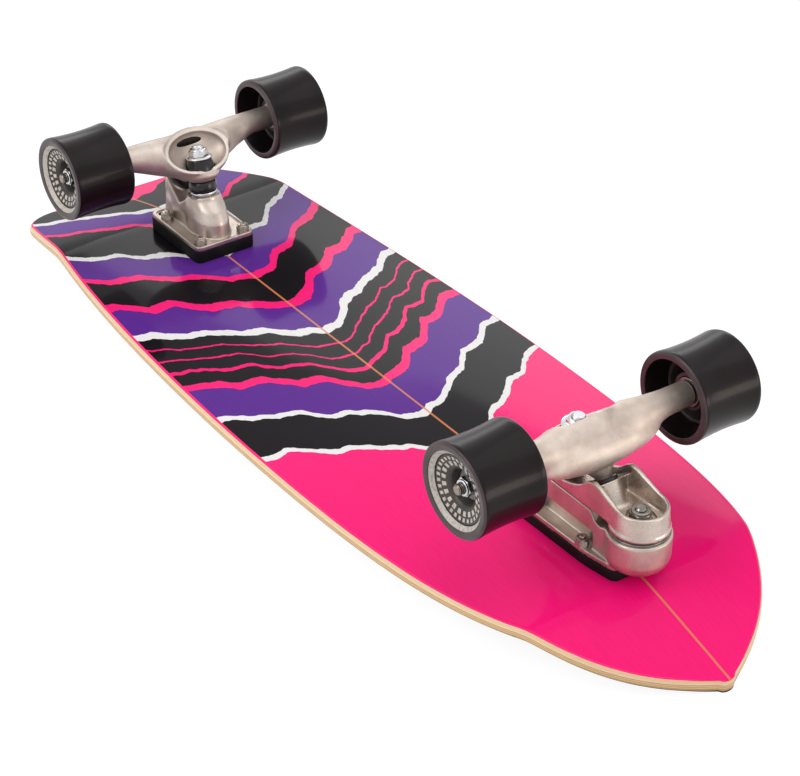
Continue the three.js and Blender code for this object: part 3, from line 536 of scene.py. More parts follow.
def band():
    """The pale ring round the wheel's core."""
    shader = Shader("wheel_band")
    worn = shader.noise(420.0, 4.0)
    color = shader.ramp(worn, [(0.3, (0.3, 0.26, 0.23)), (0.48, (0.5, 0.455, 0.41)),
                               (0.75, (0.58, 0.53, 0.48))])
    return shader.set(Base_Color=color, Roughness=0.5).bump(worn, 0.00005).material


# Frames of the trucks, of their kingpins and pivots, and of the swinging arm

def truck(name):
    facing = turn(math.pi, "Z") if name == "front" else Matrix.Identity(4)
    return shift(AXLE_X[name], 0, DECK_TOP + AXLE_HEIGHT[name]) @ facing


ON_KINGPIN = shift(SEAT[0], 0, SEAT[1]) @ turn(-KINGPIN_TILT, "Y")
ON_PIVOT = shift(PIVOT[0], 0, PIVOT[1]) @ turn(PIVOT_TILT, "Y")
ON_WINDOW = shift(WINDOW[0], 0, WINDOW[1]) @ turn(WINDOW_TILT, "Y")
ON_ARM = shift(ARM_TO_AXLE, 0, AXLE_HEIGHT["front"] - FRONT_PLATE_Z) @ turn(math.pi, "Z")
ARM = shift(ARM_PIVOT_X, 0, DECK_TOP + FRONT_PLATE_Z)


def plane(matrix, local, point):
    """Direction and offset, in the board's frame, of a plane through a point of another frame."""
    direction = (matrix.to_3x3() @ Vector(local)).normalized()
    return tuple(direction), direction.dot(matrix @ (Vector(point) / 1000))


# Deck and grip tape

OUTLINE = [
    ((-1, 0.46), (-1, 0.6), (-0.975, 0.7), (-0.938, 0.724)),
    ((-0.938, 0.724), (-0.624, 0.951), (-0.141, 1), (0.058, 1)),
    ((0.058, 1), (0.7, 1), (0.898, 0.794), (1, 0)),
]


def outline():
    points = []
    for a, b, c, d in np.array(OUTLINE, float):
        for t in np.linspace(0, 1, 120)[:-1]:
            u = 1 - t
            points.append(u ** 3 * a + 3 * u * u * t * b + 3 * u * t * t * c + t ** 3 * d)
    points.append(np.array((1.0, 0.0)))
    return np.array(points) * (HALF_LENGTH, HALF_WIDTH)


EDGE = outline()
TIP_HALF_WIDTH = 7


def half_width(x):
    """Half the deck's width at x, with the point of the nose rounded off."""
    width = float(np.interp(x, EDGE[:, 0], EDGE[:, 1]))
    if x > 0 and width < TIP_HALF_WIDTH:
        width = TIP_HALF_WIDTH * math.sqrt(max(0, 1 - (1 - width / TIP_HALF_WIDTH) ** 1.6))
    return max(0.8, width)


def kick(distance, length, blend):
    """How far a kick has bent away at a distance from its start."""
    def rise(d):
        return math.hypot(d, blend) - blend
    return 0 if distance <= 0 else KICK_DROP * rise(distance) / rise(length)


def surface_z(x, y, edge):
    bend = kick(x - HALF_LENGTH + NOSE_KICK[0], *NOSE_KICK)
    bend += kick(-x - HALF_LENGTH + TAIL_KICK[0], *TAIL_KICK)
    depth = CONCAVE_DEPTH * max(0, 1 - (x / CONCAVE_REACH) ** 4)
    side = max(0, abs(y) - FLAT_HALF_WIDTH) / max(edge - FLAT_HALF_WIDTH, FLAT_HALF_WIDTH)
    return DECK_TOP - bend - depth * side * side


STATIONS = [-HALF_LENGTH * math.cos(math.pi * i / 200) for i in range(201)]
ACROSS = 24
RAIL_INSET = 3.2
GRIP_INSET = 2.2
RAIL = [(0.62, 0.04), (0.3, 0.13), (0.12, 0.24), (0.02, 0.38), (0, 0.52), (0, 0.66), (0.06, 0.8),
        (0.2, 0.92), (0.42, 0.985)]


def across(reach, strip):
    """Places across the deck, with a narrow strip at each end."""
    return [-reach, *np.linspace(strip - reach, reach - strip, ACROSS - 2), reach]


def narrowed(inset, edge):
    """The inset, less where the nose gets thin."""
    return inset * min(1, edge / FLAT_HALF_WIDTH)


def deck_ring(x):
    edge = half_width(x)
    inset = narrowed(RAIL_INSET, edge)
    ys = across(edge - inset, inset * 0.35)
    top = [(x, y, surface_z(x, y, edge)) for y in ys]
    rim = surface_z(x, edge, edge)
    right = [(x, edge - inset * a, rim - DECK_THICKNESS * b) for a, b in RAIL]
    left = [(x, -y, z) for _, y, z in reversed(right)]
    spread = (edge - narrowed(GRIP_INSET, edge)) / (edge - inset)
    low = [(x, y * spread, surface_z(x, y, edge) - DECK_THICKNESS) for y in reversed(ys)]
    return top + right + low + left


def deck():
    obj = lofted([deck_ring(x) for x in STATIONS])
    size = 2 * ACROSS + 2 * len(RAIL)
    depth = [0.0] * ACROSS + [b for _, b in RAIL] + [1.0] * ACROSS + [b for _, b in reversed(RAIL)]
    attribute = obj.data.attributes.new("ply", "FLOAT", "POINT")
    attribute.data.foreach_set("value", np.tile(depth, len(STATIONS)).astype(np.float32))
    for face in obj.data.polygons:
        inside = [v % size for v in face.vertices]
        face.material_index = 0 if all(i < ACROSS for i in inside) and len(inside) == 4 else 1
    return smooth(obj, 50)


def grip():
    rings = []
    for x in STATIONS:
        edge = half_width(x)
        reach = edge - narrowed(GRIP_INSET, edge)
        ys = np.linspace(-reach, reach, ACROSS)
        high = [(x, y, surface_z(x, y, edge) - DECK_THICKNESS - SEAT_GAP) for y in ys]
        rings.append(high + [(x, y, z + SEAT_GAP - GRIP_THICKNESS) for x, y, z in reversed(high)])
    return smooth(lofted(rings), 50)


# Hanger

BEAM_RADIUS = 9.5
BEAM_HALF = 82.5
RING_BOTTOM = 12.9
RING_RADIUS = 15.5
WELL_RADIUS = 12.5
HALF_WINDOW = (18, 26.5)
WORN_WINDOW = (19.2, 27.8)
NOSE_RADIUS = 11
NOSE_LENGTH = 30

# Shares along the beam, then the place and half sizes of its section as shares of BEAM_RADIUS
SECTIONS = [(1, 0, 0, 1, 1), (0.73, 0, -0.05, 1.03, 1.05), (0.55, 0.1, -0.32, 1.26, 1.37),
            (0.36, 0.32, -0.63, 1.68, 1.68), (0.18, 0.63, -0.84, 2.1, 1.9), (0, 0.84, -0.95, 2.3, 2)]
NOSE = [(0, -0.17), (0.28, -0.14), (0.47, 0), (0.46, 0.16), (0.9, 0.34), (1, 0.65), (1.05, 1), (0, 1)]


def hanger():
    """Beam and bowl, the ring under the bushings and the nose in the pivot, smoothed as one casting."""
    table = np.array(sorted(SECTIONS))
    rings = []
    for share in np.linspace(-1.1, 1.1, 67):
        x, z, rx, rz = (BEAM_RADIUS * np.interp(min(abs(share), 1), table[:, 0], table[:, k])
                        for k in (1, 2, 3, 4))
        rings.append([(x + rx * math.cos(a), BEAM_HALF * share, z + rz * math.sin(a)) for a in AROUND])
    bowl = place(ellipsoid(24, 31, 22), shift(13, 0, -6))
    belly = place(ellipsoid(13.5, 54, 14.2), shift(-4.7, 0, -10.8))
    ends = [box(-OVERRUN, OVERRUN, y, y + BEAM_HALF, -OVERRUN, OVERRUN)
            for y in (-2 * BEAM_HALF, BEAM_HALF)]
    shell = cast(join(lofted(rings), bowl, belly), 1.0, 30)
    shell = cut(shell, *ends, place(layer(RING_BOTTOM - OVERRUN, RING_BOTTOM), ON_KINGPIN))
    ring_under = place(turned([(0, RING_BOTTOM), (11.6, RING_BOTTOM), (RING_RADIUS, 17.4),
                               (RING_RADIUS, RING_TOP), (0, RING_TOP)]), ON_KINGPIN)
    nose = place(turned(rounded([(NOSE_RADIUS * r, NOSE_LENGTH * z) for r, z in NOSE], 2.5)), ON_PIVOT)
    shoulder = place(turned([(0, 0), (1.1, 0), (2.3, 20), (2.3, OVERRUN), (0, OVERRUN)]),
                     Matrix.Diagonal((*HALF_WINDOW, 1, 1)), ON_WINDOW)
    hollow = place(ellipsoid(*HALF_WINDOW, 13), ON_WINDOW)
    well = turned([(0, RING_TOP), (WELL_RADIUS, RING_TOP), (WELL_RADIUS, 22.8), (10.4, 30), (0, 30)])
    body = cast(join(shell, ring_under, nose), 0.9, 8)
    return cast(cut(body, shoulder, hollow, place(well, ON_KINGPIN)), 0.75, 8)


def finished_hanger():
    """The casting with its drilled and faced places."""
    axle_bore = place(rod(AXLE_RADIUS + FIT_GAP, -90, 90), turn(math.pi / 2, "X"))
    return cut(hanger(), place(rod(8, 0, OVERRUN), ON_KINGPIN), axle_bore)


# Rear base

REAR_AXLE = AXLE_HEIGHT["rear"]
PILLAR_RADIUS = 13.5
PIVOT_MOUTH = 1.2
PIVOT_BORE = 7.6
KINGPIN_BORE = KINGPIN_RADIUS + FIT_GAP
BOLT_RADIUS = 2.4
BOLT_BORE = 2.8
PLATE_CORNER = 6
PLATE_RECESS = 1.3
SPARE_HOLE_STEP = 9.5

# Heights as shares of REAR_AXLE, then the place and half sizes as shares of PILLAR_RADIUS
TOWER = [(-0.84, 2.2, 1.82, 1.2), (-0.68, 2.15, 1.74, 1.18), (-0.57, 2, 1.55, 1.12),
         (-0.47, 1.9, 1.03, 1.01), (-0.42, 1.88, 1, 1)]
HOUSING = [(-0.84, -0.6, 0.98, 1.14), (-0.68, -0.75, 0.95, 1.08), (-0.55, -0.9, 0.92, 0.94),
           (-0.28, -1, 0.88, 0.88)]
WEB = [(-0.2, -0.84), (0.5, -0.84), (0.34, -0.52), (0.265, -0.485), (0.07, -0.632), (-0.16, -0.42),
       (-0.2, -0.5)]
SOCKET = [(0, -1), (0.52, -0.92), (0.9, -0.62), (1, 0)]


def slab(corners, corner, z0, z1):
    return prism(rounded(corners, corner, 8, ring=True), z0, z1)


def plan(tail, nose, tail_half, nose_half):
    return [(tail, -tail_half), (nose, -nose_half), (nose, nose_half), (tail, tail_half)]


def rear_plan(margin):
    return plan(-18 - margin, 59 + margin, 28 + margin, 28 + margin)


def pillar(shares):
    table = np.array(shares)
    rings = []
    for z in np.linspace(table[0, 0], table[-1, 0], 25):
        x, rx, ry = (PILLAR_RADIUS * np.interp(z, table[:, 0], table[:, k]) for k in (1, 2, 3))
        rings.append([(x + rx * math.cos(a), -ry * math.sin(a), REAR_AXLE * z) for a in AROUND])
    return lofted(rings)


def socket_bore():
    profile = [(PIVOT_BORE * r, PIVOT_BORE * z) for r, z in SOCKET]
    return place(turned([*profile, (PIVOT_BORE, OVERRUN), (0, OVERRUN)]), ON_PIVOT)


BOLT_MIDDLE = {"rear": 25, "front": -10}
BOLT_HALF_ROW = (27, 20.65)


def bolt_places(name):
    along, aside = BOLT_HALF_ROW
    return [(BOLT_MIDDLE[name] + along * a, aside * b) for a in (-1, 1) for b in (-1, 1)]


def rear_base():
    bottom = REAR_PLATE_Z - REAR_AXLE
    top = bottom + 4
    floor = top - PLATE_RECESS
    plate = cut(slab(rear_plan(0), PLATE_CORNER, bottom, top),
                slab(rear_plan(-2.2), PLATE_CORNER, floor, OVERRUN))
    tower = cut(pillar(TOWER), place(layer(0, OVERRUN), ON_KINGPIN))
    housing = cut(pillar(HOUSING), place(layer(PIVOT_MOUTH, OVERRUN), ON_PIVOT))
    web = side_profile([(REAR_AXLE * x, REAR_AXLE * z) for x, z in WEB], OVERRUN)
    taper = place(side_profile([(-15.6, bottom), (15.6, bottom), (13.3, -58), (13.3, -24), (-13.3, -24),
                                (-13.3, -58)], OVERRUN), turn(math.pi / 2, "Z"))
    upper = cast(join(tower, housing, common(web, taper)), 0.75, 6)
    body = cast(join(plate, upper), 0.6, 2)
    holes = bolt_places("rear")
    holes += [(x - SPARE_HOLE_STEP, y) for x, y in holes[:2]]
    drills = [place(rod(BOLT_BORE, -2 * OVERRUN, -20, 32), shift(x, y, 0)) for x, y in holes]
    return cut(body, socket_bore(), place(rod(KINGPIN_BORE, -2 * OVERRUN, OVERRUN), ON_KINGPIN), *drills)


# Front base and swinging arm, in the arm's frame

BOSS_RADIUS = 23
BOSS_TOP = 28
WALL_TOP = 34
SPRING_Z = 18.5
ARM_BOLT_RADIUS = 4
ARM_BOLT_BORE = ARM_BOLT_RADIUS + FIT_GAP


def front_plan(margin):
    side = [(-109 - margin, 25.5 + margin), (-26, 24.2 + margin), (1 + margin, 20 + margin)]
    return [(x, -y) for x, y in side] + side[::-1]


def front_base():
    flange = slab(front_plan(0), PLATE_CORNER, 0, 4)
    wall = slab(plan(-103, 0, 19, 19), PLATE_CORNER, 0, WALL_TOP)
    profile = [(BOSS_RADIUS * r, 2 + (BOSS_TOP - 2) * z) for r, z in
               [(0, 0), (0.84, 0), (0.96, 0.16), (1, 0.28), (1, 0.96), (0.96, 1), (0, 1)]]
    boss = turned(rounded(profile, 2))
    recesses = [place(slab(plan(-99, -25, 13.8, 13.8), 4, 4, 18.5), shift(0, y, 0)) for y in (-27.6, 27.6)]
    arm_space = turned([(0, BOSS_TOP), (22.5, BOSS_TOP), (26, 26), (30, 27.5), (34.5, WALL_TOP),
                        (34.5, OVERRUN), (0, OVERRUN)])
    body = cast(cut(join(flange, wall, boss), arm_space, *recesses), 0.65, 3)
    spring_channel = place(rod(8.2, 0, 2 * OVERRUN), turn(-math.pi / 2, "Y"), shift(0, 0, SPRING_Z))
    drills = [place(rod(BOLT_BORE, -OVERRUN, 4.6, 32), shift(ARM_TO_AXLE + x, y, 0))
              for x, y in bolt_places("front")]
    return cut(body, rod(13.3, 9, OVERRUN), spring_channel, rod(ARM_BOLT_BORE, -OVERRUN, OVERRUN), *drills)


# Shares along the arm from its pivot, and shares of its height
ARM_SIDE = [(-0.3, 0.62), (0, 0.62), (0.14, 0.8), (0.25, 0.96), (0.32, 1), (0.37, 0.92), (0.46, 0.58),
            (0.58, 0.37), (0.66, 0.29), (1.1, 0.24)]
ARM_LENGTH = 91
ARM_FLOOR = 34.6
ARM_RIDGE = 57.0
ARM_HALF_WIDTH = 19.2
ARM_TAIL = (-77, 4.8, 14)
ARM_BOTTOM = 30.95
BOWL_FLOOR = 36.5
SEAT_REACH = 12.2


def arc(x, y, radius, start, end, count):
    angles = np.linspace(start * math.pi, end * math.pi, count)
    return [(x + radius * math.cos(a), y + radius * math.sin(a)) for a in angles]


def swing_arm():
    profile = [(-ARM_LENGTH * x, ARM_FLOOR + (ARM_RIDGE - ARM_FLOOR) * z) for x, z in ARM_SIDE]
    profile = rounded([*profile, (-151, ARM_FLOOR), (60, ARM_FLOOR)], 9, 6)
    tail_x, tail_y, tail_radius = ARM_TAIL
    edge = arc(0, 0, ARM_HALF_WIDTH, -0.5, 0.5, 40)
    edge += arc(tail_x, tail_y, tail_radius, 0.5, 1, 20)
    edge += arc(tail_x, -tail_y, tail_radius, 1, 1.5, 20)
    beam = common(prism(edge, ARM_FLOOR, ARM_RIDGE), side_profile(profile, OVERRUN))
    foot = ARM_BOTTOM + 2.6
    boss = turned([(0, ARM_BOTTOM), (21.5, ARM_BOTTOM), (21.5, foot), (20.8, foot + 0.4),
                   (ARM_HALF_WIDTH, 48.5), (0, 48.5)])
    bowl = rod(16.6, BOWL_FLOOR, OVERRUN)
    slot = slab(plan(-30, 0, 15, 16.6), 1, BOWL_FLOOR, OVERRUN)
    socket_wall = place(rod(11.4, -OVERRUN, OVERRUN), ON_PIVOT, ON_ARM)
    behind = place(box(1, 2 * OVERRUN, -OVERRUN, OVERRUN, -OVERRUN, OVERRUN), ON_PIVOT, ON_ARM)
    scoop = cast(cut(join(bowl, slot), socket_wall, behind), 0.9, 40)
    over_mouth = place(layer(PIVOT_MOUTH, OVERRUN), ON_PIVOT, ON_ARM)
    pocket = box(-62, -13, -15, 15, 38.7, OVERRUN)
    over_seat = place(rod(SEAT_REACH, 0, OVERRUN), ON_KINGPIN, ON_ARM)
    body = cut(join(beam, boss), scoop, common(over_mouth, pocket), over_seat)
    seat = common(place(rod(SEAT_REACH, -OVERRUN, 0), ON_KINGPIN, ON_ARM), layer(ARM_FLOOR, OVERRUN))
    socket = common(place(rod(10.6, -OVERRUN, PIVOT_MOUTH), ON_PIVOT, ON_ARM), layer(ARM_FLOOR, OVERRUN))
    body = cast(join(body, seat, socket), 0.65, 4)
    spigot = rod(12.8, 11.5, foot)
    kingpin_bore = place(rod(KINGPIN_BORE, -OVERRUN, OVERRUN), ON_KINGPIN, ON_ARM)
    arm_bore = rod(ARM_BOLT_BORE, -OVERRUN, OVERRUN)
    return cut(join(body, spigot), place(socket_bore(), ON_ARM), kingpin_bore, arm_bore)


# Small turned parts

def hex_body(radius, bottom, top):
    """A hexagon with its corners turned off at both ends."""
    six = prism(arc(0, 0, radius, 0, 5 / 3, 6), bottom, top)
    flat = radius * 0.9
    drop = (radius - flat) * 0.7
    reach = radius + 0.2
    cone = turned([(0, bottom), (flat, bottom), (reach, bottom + drop), (reach, top - drop), (flat, top),
                   (0, top)])
    return common(six, cone)


def lock_nut(bore, radius, bottom, height):
    top = bottom + height
    reach = 0.84 * radius
    nut = hex_body(radius, bottom, top - 1.6)
    collar = [(0, bottom), (reach, bottom), (reach, top - 0.3), (reach - 0.8, top), (0, top)]
    collar = turned(rounded(collar, 0.4))
    return smooth(cut(join(nut, collar), rod(bore + FIT_GAP, bottom - 9, top + 9)), 30)


def pin(radius, bottom, top, point=1.0):
    tip = radius - point
    return smooth(turned([(0, bottom), (tip, bottom), (radius, bottom + point), (radius, top - point),
                          (tip, top), (0, top)]), 30)


def ring(profile, radius):
    return smooth(turned(rounded(profile, radius, 3, ring=True), ring=True), 40)


# Wheels, along Z: heights count outwards from the board's middle line

WHEEL_RADIUS = 34.5
WHEEL_WIDTH = 52.3
WHEEL_OUT = 120.8
WHEEL_IN = WHEEL_OUT - WHEEL_WIDTH
BEARING_WIDTH = 7
BEARING_IN = 83.1
BEARING_OUT = BEARING_IN + 24
CORE_IN = BEARING_IN + RUNNING_GAP
CORE_OUT = WHEEL_OUT - 4
CORE_SEAT = 25.1
CORE_DISH = (14.6, 23.2, 2.8)
BAND_RADIUS = 28.2

# How far the tread's rounded edge stays in from the wheel's radius and from its side
TREAD_EDGE = [(1.8, 0), (0.5, 0.6), (0.05, 1.8)]


def tyre():
    middle = WHEEL_OUT - WHEEL_WIDTH / 2
    waist = [(WHEEL_RADIUS - 1.2 * (1 - t * t), middle + 22.5 * t) for t in np.linspace(-1, 1, 21)]
    inner = [(WHEEL_RADIUS - a, WHEEL_IN + b) for a, b in TREAD_EDGE]
    outer = [(WHEEL_RADIUS - a, WHEEL_OUT - b) for a, b in reversed(TREAD_EDGE)]
    profile = [(CORE_SEAT, CORE_IN + 3), (29, WHEEL_IN), *inner, *waist, *outer, (28.6, WHEEL_OUT - 0.5),
               (BAND_RADIUS, WHEEL_OUT - 1), (25.3, CORE_OUT + 0.4), (CORE_SEAT, CORE_OUT)]
    obj = turned(rounded(profile, 0.5, 3, ring=True), 96, ring=True)
    for face in obj.data.polygons:
        radius = math.hypot(face.center.x, face.center.y) * 1000
        height = face.center.z * 1000
        pale = CORE_SEAT < radius < BAND_RADIUS - 0.05 and height > CORE_OUT
        # The faces near the wheel's sides take the lip colour with its painted glow.
        lip = height > WHEEL_OUT - 1.3 or height < WHEEL_IN + 1.3
        face.material_index = 1 if pale else 2 if lip else 0
    return smooth(obj, 40)


def core_face(radius):
    """Height of the core's dished face at a radius."""
    inner, outer, depth = CORE_DISH
    return CORE_OUT - 0.4 - (outer - radius) * depth / (outer - inner)


def core():
    bore, neck = 11.3, BEARING_WIDTH + 0.3
    web = BEARING_OUT - BEARING_WIDTH
    profile = [(bore, CORE_IN), (14.2, CORE_IN), (14.2, web), (21.8, web), (21.8, CORE_IN + 3),
               (24.8, CORE_IN + 3), (24.8, CORE_OUT)]
    profile += [(radius, core_face(radius)) for radius in (CORE_DISH[1], CORE_DISH[0])]
    profile += [(13, CORE_OUT - 4.6), (bore, BEARING_OUT + 0.3), (bore, BEARING_OUT - neck),
                (9.8, BEARING_OUT - neck), (9.8, BEARING_IN + neck), (bore, BEARING_IN + neck)]
    return smooth(turned(rounded(profile, 0.7, 3, ring=True), 96, ring=True), 40)


def core_ribs():
    """Short raised bars in two rows round the core's face."""
    points, faces = [], []
    for inner, outer, count, fill in ((16.2, 19.4, 20, 0.52), (20.6, 23, 30, 0.5)):
        for i in range(count):
            middle = 2 * math.pi * i / count
            half = math.pi / count * fill
            first = len(points)
            for radius in (inner, outer):
                face_height = core_face(radius)
                for angle in (middle - half, middle + half):
                    for height in (face_height - 0.6, face_height + 0.35):
                        points.append((radius * math.cos(angle), radius * math.sin(angle), height))
            for face in BOX_FACES:
                faces.append([first + corner for corner in face])
    return mesh_object("ribs", points, faces)


def bearing(bottom):
    top = bottom + BEARING_WIDTH
    return ring([(4.3, bottom), (11, bottom), (11, top), (9.3, top), (9.1, top - 0.6), (6.4, top - 0.6),
                 (6.2, top), (4.3, top)], 0.25)


def build_wheels(looks):
    for name in ("front", "rear"):
        for side, sign in (("left", 1), ("right", -1)):
            centre = shift(AXLE_X[name], 0, DECK_TOP + AXLE_HEIGHT[name])
            spot = (turn(sign * math.pi / 2, "X"), centre)
            key = f"{name}_{side}"
            body = f"{key}_wheel"
            shades = [looks["urethane"], looks["band"], looks["lip"]]
            piece(place(tyre(), *spot), f"tyre_{key}", body, shades, "wheel_urethane", f"{key}_tyre")
            piece(place(core(), *spot), f"core_{key}", body, looks["core"], "wheel_core", f"{key}_core")
            piece(place(core_ribs(), *spot), f"core_ribs_{key}", body, looks["band"], "wheel_core")
            for which, bottom in (("inner", BEARING_IN), ("outer", BEARING_OUT - BEARING_WIDTH)):
                piece(place(bearing(bottom), *spot), f"bearing_{which}_{key}", body, looks["steel"],
                      "bearing_steel", f"{key}_bearing_{which}")
            nut = lock_nut(AXLE_RADIUS, 7.2, BEARING_OUT + RUNNING_GAP, 6)
            piece(place(nut, *spot), f"axle_nut_{key}", f"{name}_hanger", looks["chrome"], "bearing_steel",
                  f"{key}_axle_nut")


# Rings round the kingpin and round the pivot

CUP_WASHER = [(5.4, 0.05), (10.2, 0.05), (11.2, 1.55), (11.2, 3.15), (10.2, 3.15), (10.2, 1.65),
              (5.4, 1.65)]
BUSHING_DECKSIDE = [(5.4, 1.95), (9.6, 1.95), (9.9, 3.3), (11.7, 4.6), (11.9, 7.5), (11.5, 11.2),
                    (10.4, 12.6), (5.4, 12.6)]
BUSHING_ROADSIDE = [(5.4, 20.8), (11.6, 20.8), (12, 22.4), (11.4, 26), (10, 31.8), (5.4, 31.8)]
FLAT_WASHER = [(5.4, 32), (10.9, 32), (11.1, 32.9), (9.2, 33.7), (5.4, 33.7)]
PIVOT_FLANGE = [(5.8, 1.3), (10.2, 1.3), (10.4, 2.4), (9.6, 4), (5.8, 4)]


def kingpin(name):
    if name == "rear":
        head, bottom = hex_body(8.2, -15, -9.4), -15
    else:
        head, bottom = turned([(0, -5.4), (7.8, -5.4), (7.8, -2.6), (0, -2.6)]), -5.4
    return smooth(join(pin(KINGPIN_RADIUS, bottom, KINGPIN_TOP), head), 30)


def build_trucks(looks):
    for name in ("front", "rear"):
        spot = truck(name)
        base = "swing_arm" if name == "front" else "deck"
        carrier = f"{name}_hanger"
        piece(place(finished_hanger(), spot), f"hanger_{name}", carrier, looks[carrier],
              "cast_aluminium", carrier)
        axle = pin(AXLE_RADIUS, -118, 118, 0.8)
        piece(place(axle, turn(math.pi / 2, "X"), spot), f"axle_{name}", carrier, looks["axle"],
              "axle_steel", f"{name}_axle")
        # The pivot cup's black rubber flange is drawn out 1.35 times along the slope and moved down it,
        # over the shadowed notch between housing and hanger: partly a real flange, partly a painted
        # shadow.
        drawn_into_shade = Matrix.Diagonal((1.35, 1, 1, 1))
        flange = place(ring(PIVOT_FLANGE, 0.4), drawn_into_shade, shift(3.4, 0, 0), ON_PIVOT, spot)
        piece(flange, f"pivot_cup_flange_and_shade_{name}", base, looks["bushing"], "bushing_rubber")
        piece(place(kingpin(name), ON_KINGPIN, spot), f"kingpin_{name}", base, looks[f"{name}_thread"],
              "zinc_steel", f"{name}_kingpin")
        zinc, soft = (looks["zinc"], "zinc_steel"), (looks["bushing"], "bushing_rubber")
        for kind, profile, radius, (look, slot), node in (
                ("cup_washer", CUP_WASHER, 0.4, zinc, "cup_washer_deckside"),
                ("bushing_deckside", BUSHING_DECKSIDE, 0.9, soft, "bushing_deckside"),
                ("bushing_roadside", BUSHING_ROADSIDE, 0.9, soft, "bushing_roadside"),
                ("washer", FLAT_WASHER, 0.3, zinc, "washer_roadside")):
            piece(place(ring(profile, radius), ON_KINGPIN, spot), f"{kind}_{name}", base, look, slot,
                  f"{name}_{node}")
        nut = lock_nut(KINGPIN_RADIUS, 8.25, 33.75, 6)
        piece(place(nut, ON_KINGPIN, spot), f"kingpin_nut_{name}", base, looks["chrome"], "zinc_steel",
              f"{name}_kingpin_nut")


def mounting_bolt(nut_z):
    """Head in the rider's side, and a nut with its collar in the base."""
    head_z = KICK_DROP + SEAT_GAP
    end_z = nut_z + 7.2
    shank = turned([(0, head_z), (4.6, head_z), (4.6, head_z + 0.75), (BOLT_RADIUS, head_z + 2.95),
                    (BOLT_RADIUS, end_z - 0.5), (2, end_z), (0, end_z)], MIDDLE)
    reach, half, depth = 3, 0.45, head_z + 1.15
    cross = [box(-reach, reach, -half, half, 20, depth), box(-half, half, -reach, reach, 20, depth)]
    top = nut_z + 6
    collar = turned([(0, nut_z), (4.3, nut_z), (4.3, top - 0.3), (3.7, top), (0, top)], MIDDLE)
    return smooth(join(cut(shank, *cross), hex_body(5.3, nut_z, nut_z + 4.6), collar), 30)


def mounting_bolts(looks):
    for name in ("rear", "front"):
        floor = REAR_PLATE_Z - PLATE_RECESS if name == "rear" else FRONT_PLATE_Z
        corners = [f"{end}_{side}" for end in ("tail", "nose") for side in ("left", "right")]
        for (x, y), corner in zip(bolt_places(name), corners):
            bolt = place(mounting_bolt(DECK_TOP + floor + 4.05), shift(AXLE_X[name] + x, y, 0))
            piece(bolt, f"bolt_{name}_{corner}", "deck", looks["bolt"], "bolt_steel",
                  f"mounting_bolt_{name}_{corner}")


def arm_bolt():
    return smooth(join(pin(ARM_BOLT_RADIUS, SEAT_GAP, 46.3), hex_body(7, SEAT_GAP, 3.6)), 30)


def arm_nut():
    """A flanged lock nut on the bowl's floor."""
    seat = BOWL_FLOOR + SEAT_GAP
    top = seat + 8.2
    collar = turned([(0, seat), (6.7, seat), (6.7, top - 0.35), (6.1, top), (0, top)])
    flange = turned([(0, seat), (11.2, seat), (11.5, seat + 0.35), (11.5, seat + 1.05), (9, seat + 2.05),
                     (0, seat + 2.05)])
    nut = join(hex_body(8, seat, seat + 6.6), collar, flange)
    return smooth(cut(nut, rod(ARM_BOLT_BORE, 30, OVERRUN)), 30)


def thrust_ring(bottom, height, waist):
    inner, outer = 14, 20.5
    top = bottom + height
    side = [(outer - waist, bottom + height / 2)] if waist else []
    return ring([(inner, bottom), (outer, bottom), *side, (outer, top), (inner, top)], 0.2)


def build_front(looks):
    low = BOSS_TOP + SEAT_GAP
    high = low + 1 + SEAT_GAP
    for obj, name, body, look, slot, node in (
            (front_base(), "front_base_cast", "deck", "front_base", "cast_aluminium", "front_base"),
            (swing_arm(), "swing_arm_cast", "swing_arm", "arm", "cast_aluminium", "swing_arm"),
            (arm_bolt(), "arm_bolt", "deck", "dark_nut", "zinc_steel", "arm_pivot_bolt"),
            (arm_nut(), "arm_nut", "deck", "dark_nut", "zinc_steel", "arm_pivot_nut"),
            (thrust_ring(low, 1, 0), "thrust_washer_ring", "deck", "steel", "bearing_steel",
             "thrust_washer"),
            (thrust_ring(high, 1.8, 0.5), "thrust_cage", "swing_arm", "cage", "bearing_steel",
             "thrust_bearing")):
        piece(place(obj, ARM), name, body, looks[look], slot, node)


def build_pads(looks):
    margin = 0.3
    for name, corners, x, plate_z in (("rear", rear_plan(margin), AXLE_X["rear"], REAR_PLATE_Z),
                                      ("front", front_plan(margin), ARM_PIVOT_X, FRONT_PLATE_Z)):
        pad = bevelled(slab(corners, PLATE_CORNER, 0, plate_z - 2 * SEAT_GAP), 0.7)
        piece(place(pad, shift(x, 0, DECK_TOP + SEAT_GAP)), f"riser_{name}", "deck", looks["riser"],
              "riser_rubber", f"{name}_riser_pad")


